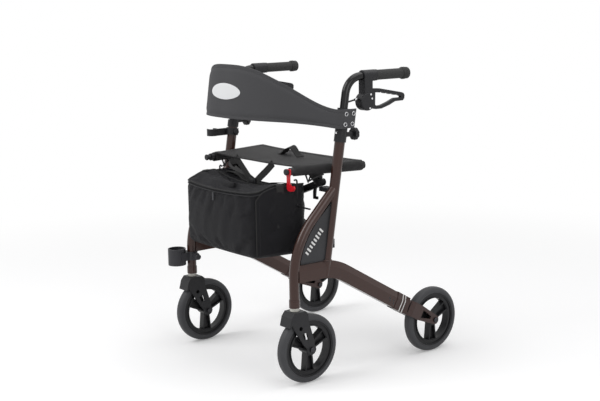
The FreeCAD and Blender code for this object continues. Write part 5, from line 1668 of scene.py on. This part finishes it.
@dataclass
class BraceDetails:
    """Thin struts, yokes and pins beside the seat rails, placed on the left side and mirrored."""

    strut: tuple = ((0.2135, -0.172, 0.566), (0.222, -0.152, 0.576), (0.2335, -0.128, 0.586))
    strut_radius: float = 0.0026
    yoke: tuple = ((0.2115, -0.177, 0.590), (0.2120, -0.168, 0.565), (0.2115, -0.154, 0.590))
    yoke_radius: float = 0.0030
    pin_place: tuple = (0.2185, -0.128, 0.575)
    pin_radius: float = 0.0075
    pin_rise: float = 0.004

    def placed(self, line: tuple, side: Side) -> list[Vector]:
        """A line's points on one side of the walker."""
        return [Vector((side.value * x, y, z)) for x, y, z in line]

    def build(self) -> None:
        """Makes the details of both sides."""
        for side in Side:
            body = "arm_a" if side is Side.LEFT else "arm_b"
            strut = smooth_line(self.placed(self.strut, side)).points
            fit(tube("rail_strut_" + side.word, strut, self.strut_radius), body, BAR_PAINT)
            yoke = self.placed(self.yoke, side)
            fit(tube("rail_yoke_" + side.word, yoke, self.yoke_radius), body, BAR_PAINT)
            (foot,) = self.placed((self.pin_place,), side)
            pin = dome("pin", foot, Vector((side.value, 0, 0)), self.pin_radius, self.pin_rise)
            fit(gather("brace_pin_" + side.word, [pin]), body, BLACK_MOULDED)


# ------------------------------------------------------------------ carried nodes, studio

CARRIED: dict[str, Finish] = {
    "post": BRONZE, "front_leg": BRONZE, "lower_arm": BRONZE, "side_panel": GREY_MOULDED,
    "rear_fork": BROWN_MOULDED, "rear_axle": DARK_STEEL, "caster_socket": PALE_MOULDED,
    "height_collar": BLACK_MOULDED, "brace_bracket": BLACK_MOULDED, "cross_arm": BAR_PAINT,
    "seat_rail": BLACK_MOULDED, "handle_tube": BLACK_PAINT, "grip": GRIP, "brake_housing": BLACK_MOULDED,
    "brake_lever": BLACK_MOULDED, "brake_shoe": BLACK_MOULDED, "rear_rim": RIM_MOULDED,
    "caster_fork": BLACK_MOULDED, "caster_axle": DARK_STEEL, "caster_rim": RIM_MOULDED,
    "star_knob": BLACK_MOULDED,
}
CARRIED_SINGLE: dict[str, Finish] = {
    "cane_cup": CUP_MOULDED, "cane_clip": BLACK_MOULDED, "centre_pin": DARK_STEEL, "fold_latch": RED,
}


def dress_carried(frame: dict) -> None:
    """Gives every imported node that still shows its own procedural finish."""
    for name, node in frame["nodes"].items():
        base = name.removesuffix("_left").removesuffix("_right")
        finish = CARRIED_SINGLE.get(name) or CARRIED.get(base)
        if finish is None:
            continue
        if node.material_slots:
            for place in node.material_slots:
                place.material = finish.material()
        else:
            node.data.materials.append(finish.material())


@dataclass
class Studio:
    """A pale floor, soft lamps and the camera."""

    eye: Vector = field(default_factory=lambda: Vector((2.6591, -2.0834, 1.0819)))
    aim: Vector = field(default_factory=lambda: Vector((0.00048, -0.03509, 0.46654)))
    roll: float = math.radians(-0.98)
    lens: float = 66.56

    def build(self) -> None:
        """Sets up the world, the floor, the lamps and the camera."""
        self.set_world()
        self.lay_floor()
        self.lamp("key_panel", Vector((-0.9, -2.4, 3.0)), 2.2, 58.0)
        self.lamp("sky_panel", Vector((0.6, 0.8, 3.4)), 2.8, 40.0)
        self.lamp("side_panel_lamp", Vector((3.0, -0.4, 1.7)), 1.8, 20.0)
        self.set_camera()
        bpy.context.scene.view_settings.view_transform = "Standard"

    def set_world(self) -> None:
        """A plain world that is white to the camera and softer as a light."""
        world = bpy.data.worlds.new("studio")
        bpy.context.scene.world = world
        world.use_nodes = True
        bench = Bench(world.node_tree)
        back = world.node_tree.nodes["Background"]
        back.inputs["Color"].default_value = (1.0, 1.0, 1.0, 1.0)
        seen = self.seen_rays(bench)
        strength = bench.sum("ADD", 0.40, bench.sum("MULTIPLY", seen, 0.60))
        bench.link(strength, back.inputs["Strength"])

    def seen_rays(self, bench: Bench) -> bpy.types.NodeSocket:
        """1 where the camera, a reflection or a transmission looks, and 0 elsewhere."""
        path = bench.add("LightPath")
        seen = bench.sum("MAXIMUM", path.outputs["Is Camera Ray"], path.outputs["Is Glossy Ray"])
        return bench.sum("MAXIMUM", seen, path.outputs["Is Transmission Ray"])

    def lay_floor(self) -> None:
        """The pale floor, which keeps the walker's soft shadow."""
        bpy.ops.object.select_all(action="DESELECT")
        bpy.ops.mesh.primitive_plane_add(size=24.0, location=(0.0, 0.0, -0.0005))
        floor = named("floor")
        made = bpy.data.materials.new("pale_floor")
        made.use_nodes = True
        made.node_tree.nodes.clear()
        bench = Bench(made.node_tree)
        matte = bench.add("BsdfDiffuse", {"Color": (0.86, 0.86, 0.865, 1.0)})
        glow = bench.add("Emission", {"Color": (1.0, 1.0, 1.0, 1.0)})
        seen = self.seen_rays(bench)
        bench.link(bench.sum("MULTIPLY", seen, 0.22), glow.inputs["Strength"])
        near = bench.add("AddShader")
        bench.link(matte.outputs[0], near.inputs[0])
        bench.link(glow.outputs[0], near.inputs[1])
        far = bench.add("Emission", {"Color": (1.0, 1.0, 1.0, 1.0)})
        bench.link(bench.sum("ADD", 0.4, bench.sum("MULTIPLY", seen, 0.6)), far.inputs["Strength"])
        reach = bench.add("VectorMath", operation="LENGTH")
        bench.link(bench.add("TexCoord").outputs["Object"], reach.inputs[0])
        fade = bench.add("MapRange", {"From Min": 0.75, "From Max": 2.6}, interpolation_type="SMOOTHSTEP")
        bench.link(reach.outputs["Value"], fade.inputs["Value"])
        both = bench.add("MixShader")
        bench.link(fade.outputs["Result"], both.inputs[0])
        bench.link(near.outputs[0], both.inputs[1])
        bench.link(far.outputs[0], both.inputs[2])
        out = bench.add("OutputMaterial")
        bench.link(both.outputs[0], out.inputs["Surface"])
        floor.data.materials.append(made)

    def lamp(self, name: str, place: Vector, size: float, power: float) -> None:
        """A soft square lamp that points at the walker.

        Args:
            name: The lamp's name.
            place: Where it is.
            size: The length of its side.
            power: Its power in watts.
        """
        light = bpy.data.lights.new(name, "AREA")
        light.shape = "SQUARE"
        light.size = size
        light.energy = power
        lamp = bpy.data.objects.new(name, light)
        bpy.context.scene.collection.objects.link(lamp)
        lamp.location = place
        lamp.rotation_euler = (Vector((0, 0, 0.4)) - place).to_track_quat("-Z", "Y").to_euler()

    def set_camera(self) -> None:
        """The camera, turned a little about its own axis."""
        ahead = (self.aim - self.eye).normalized()
        right = ahead.cross(UP).normalized()
        top = right.cross(ahead)
        turned = right * math.cos(self.roll) + top * math.sin(self.roll)
        lens = bpy.data.cameras.new("camera")
        lens.lens = self.lens
        lens.sensor_width = 36.0
        camera = bpy.data.objects.new("camera", lens)
        bpy.context.scene.collection.objects.link(camera)
        axes = Matrix((turned, turned.cross(ahead), -ahead)).transposed()
        camera.matrix_world = Matrix.Translation(self.eye) @ axes.to_4x4()
        bpy.context.scene.camera = camera


def main() -> None:
    """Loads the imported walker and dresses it, sub-assembly by sub-assembly."""
    logging.basicConfig(level=logging.INFO, format="%(name)s: %(message)s")
    random.seed(7)
    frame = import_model()
    Studio().build()
    dress_carried(frame)
    BackrestBand().build()
    SlingSeat().build()
    CarryBag().build()
    RollingWheels().build(frame)
    SideFrames().build()
    HandleBrakes().build()
    BraceDetails().build()


if __name__ == "__main__":
    main()
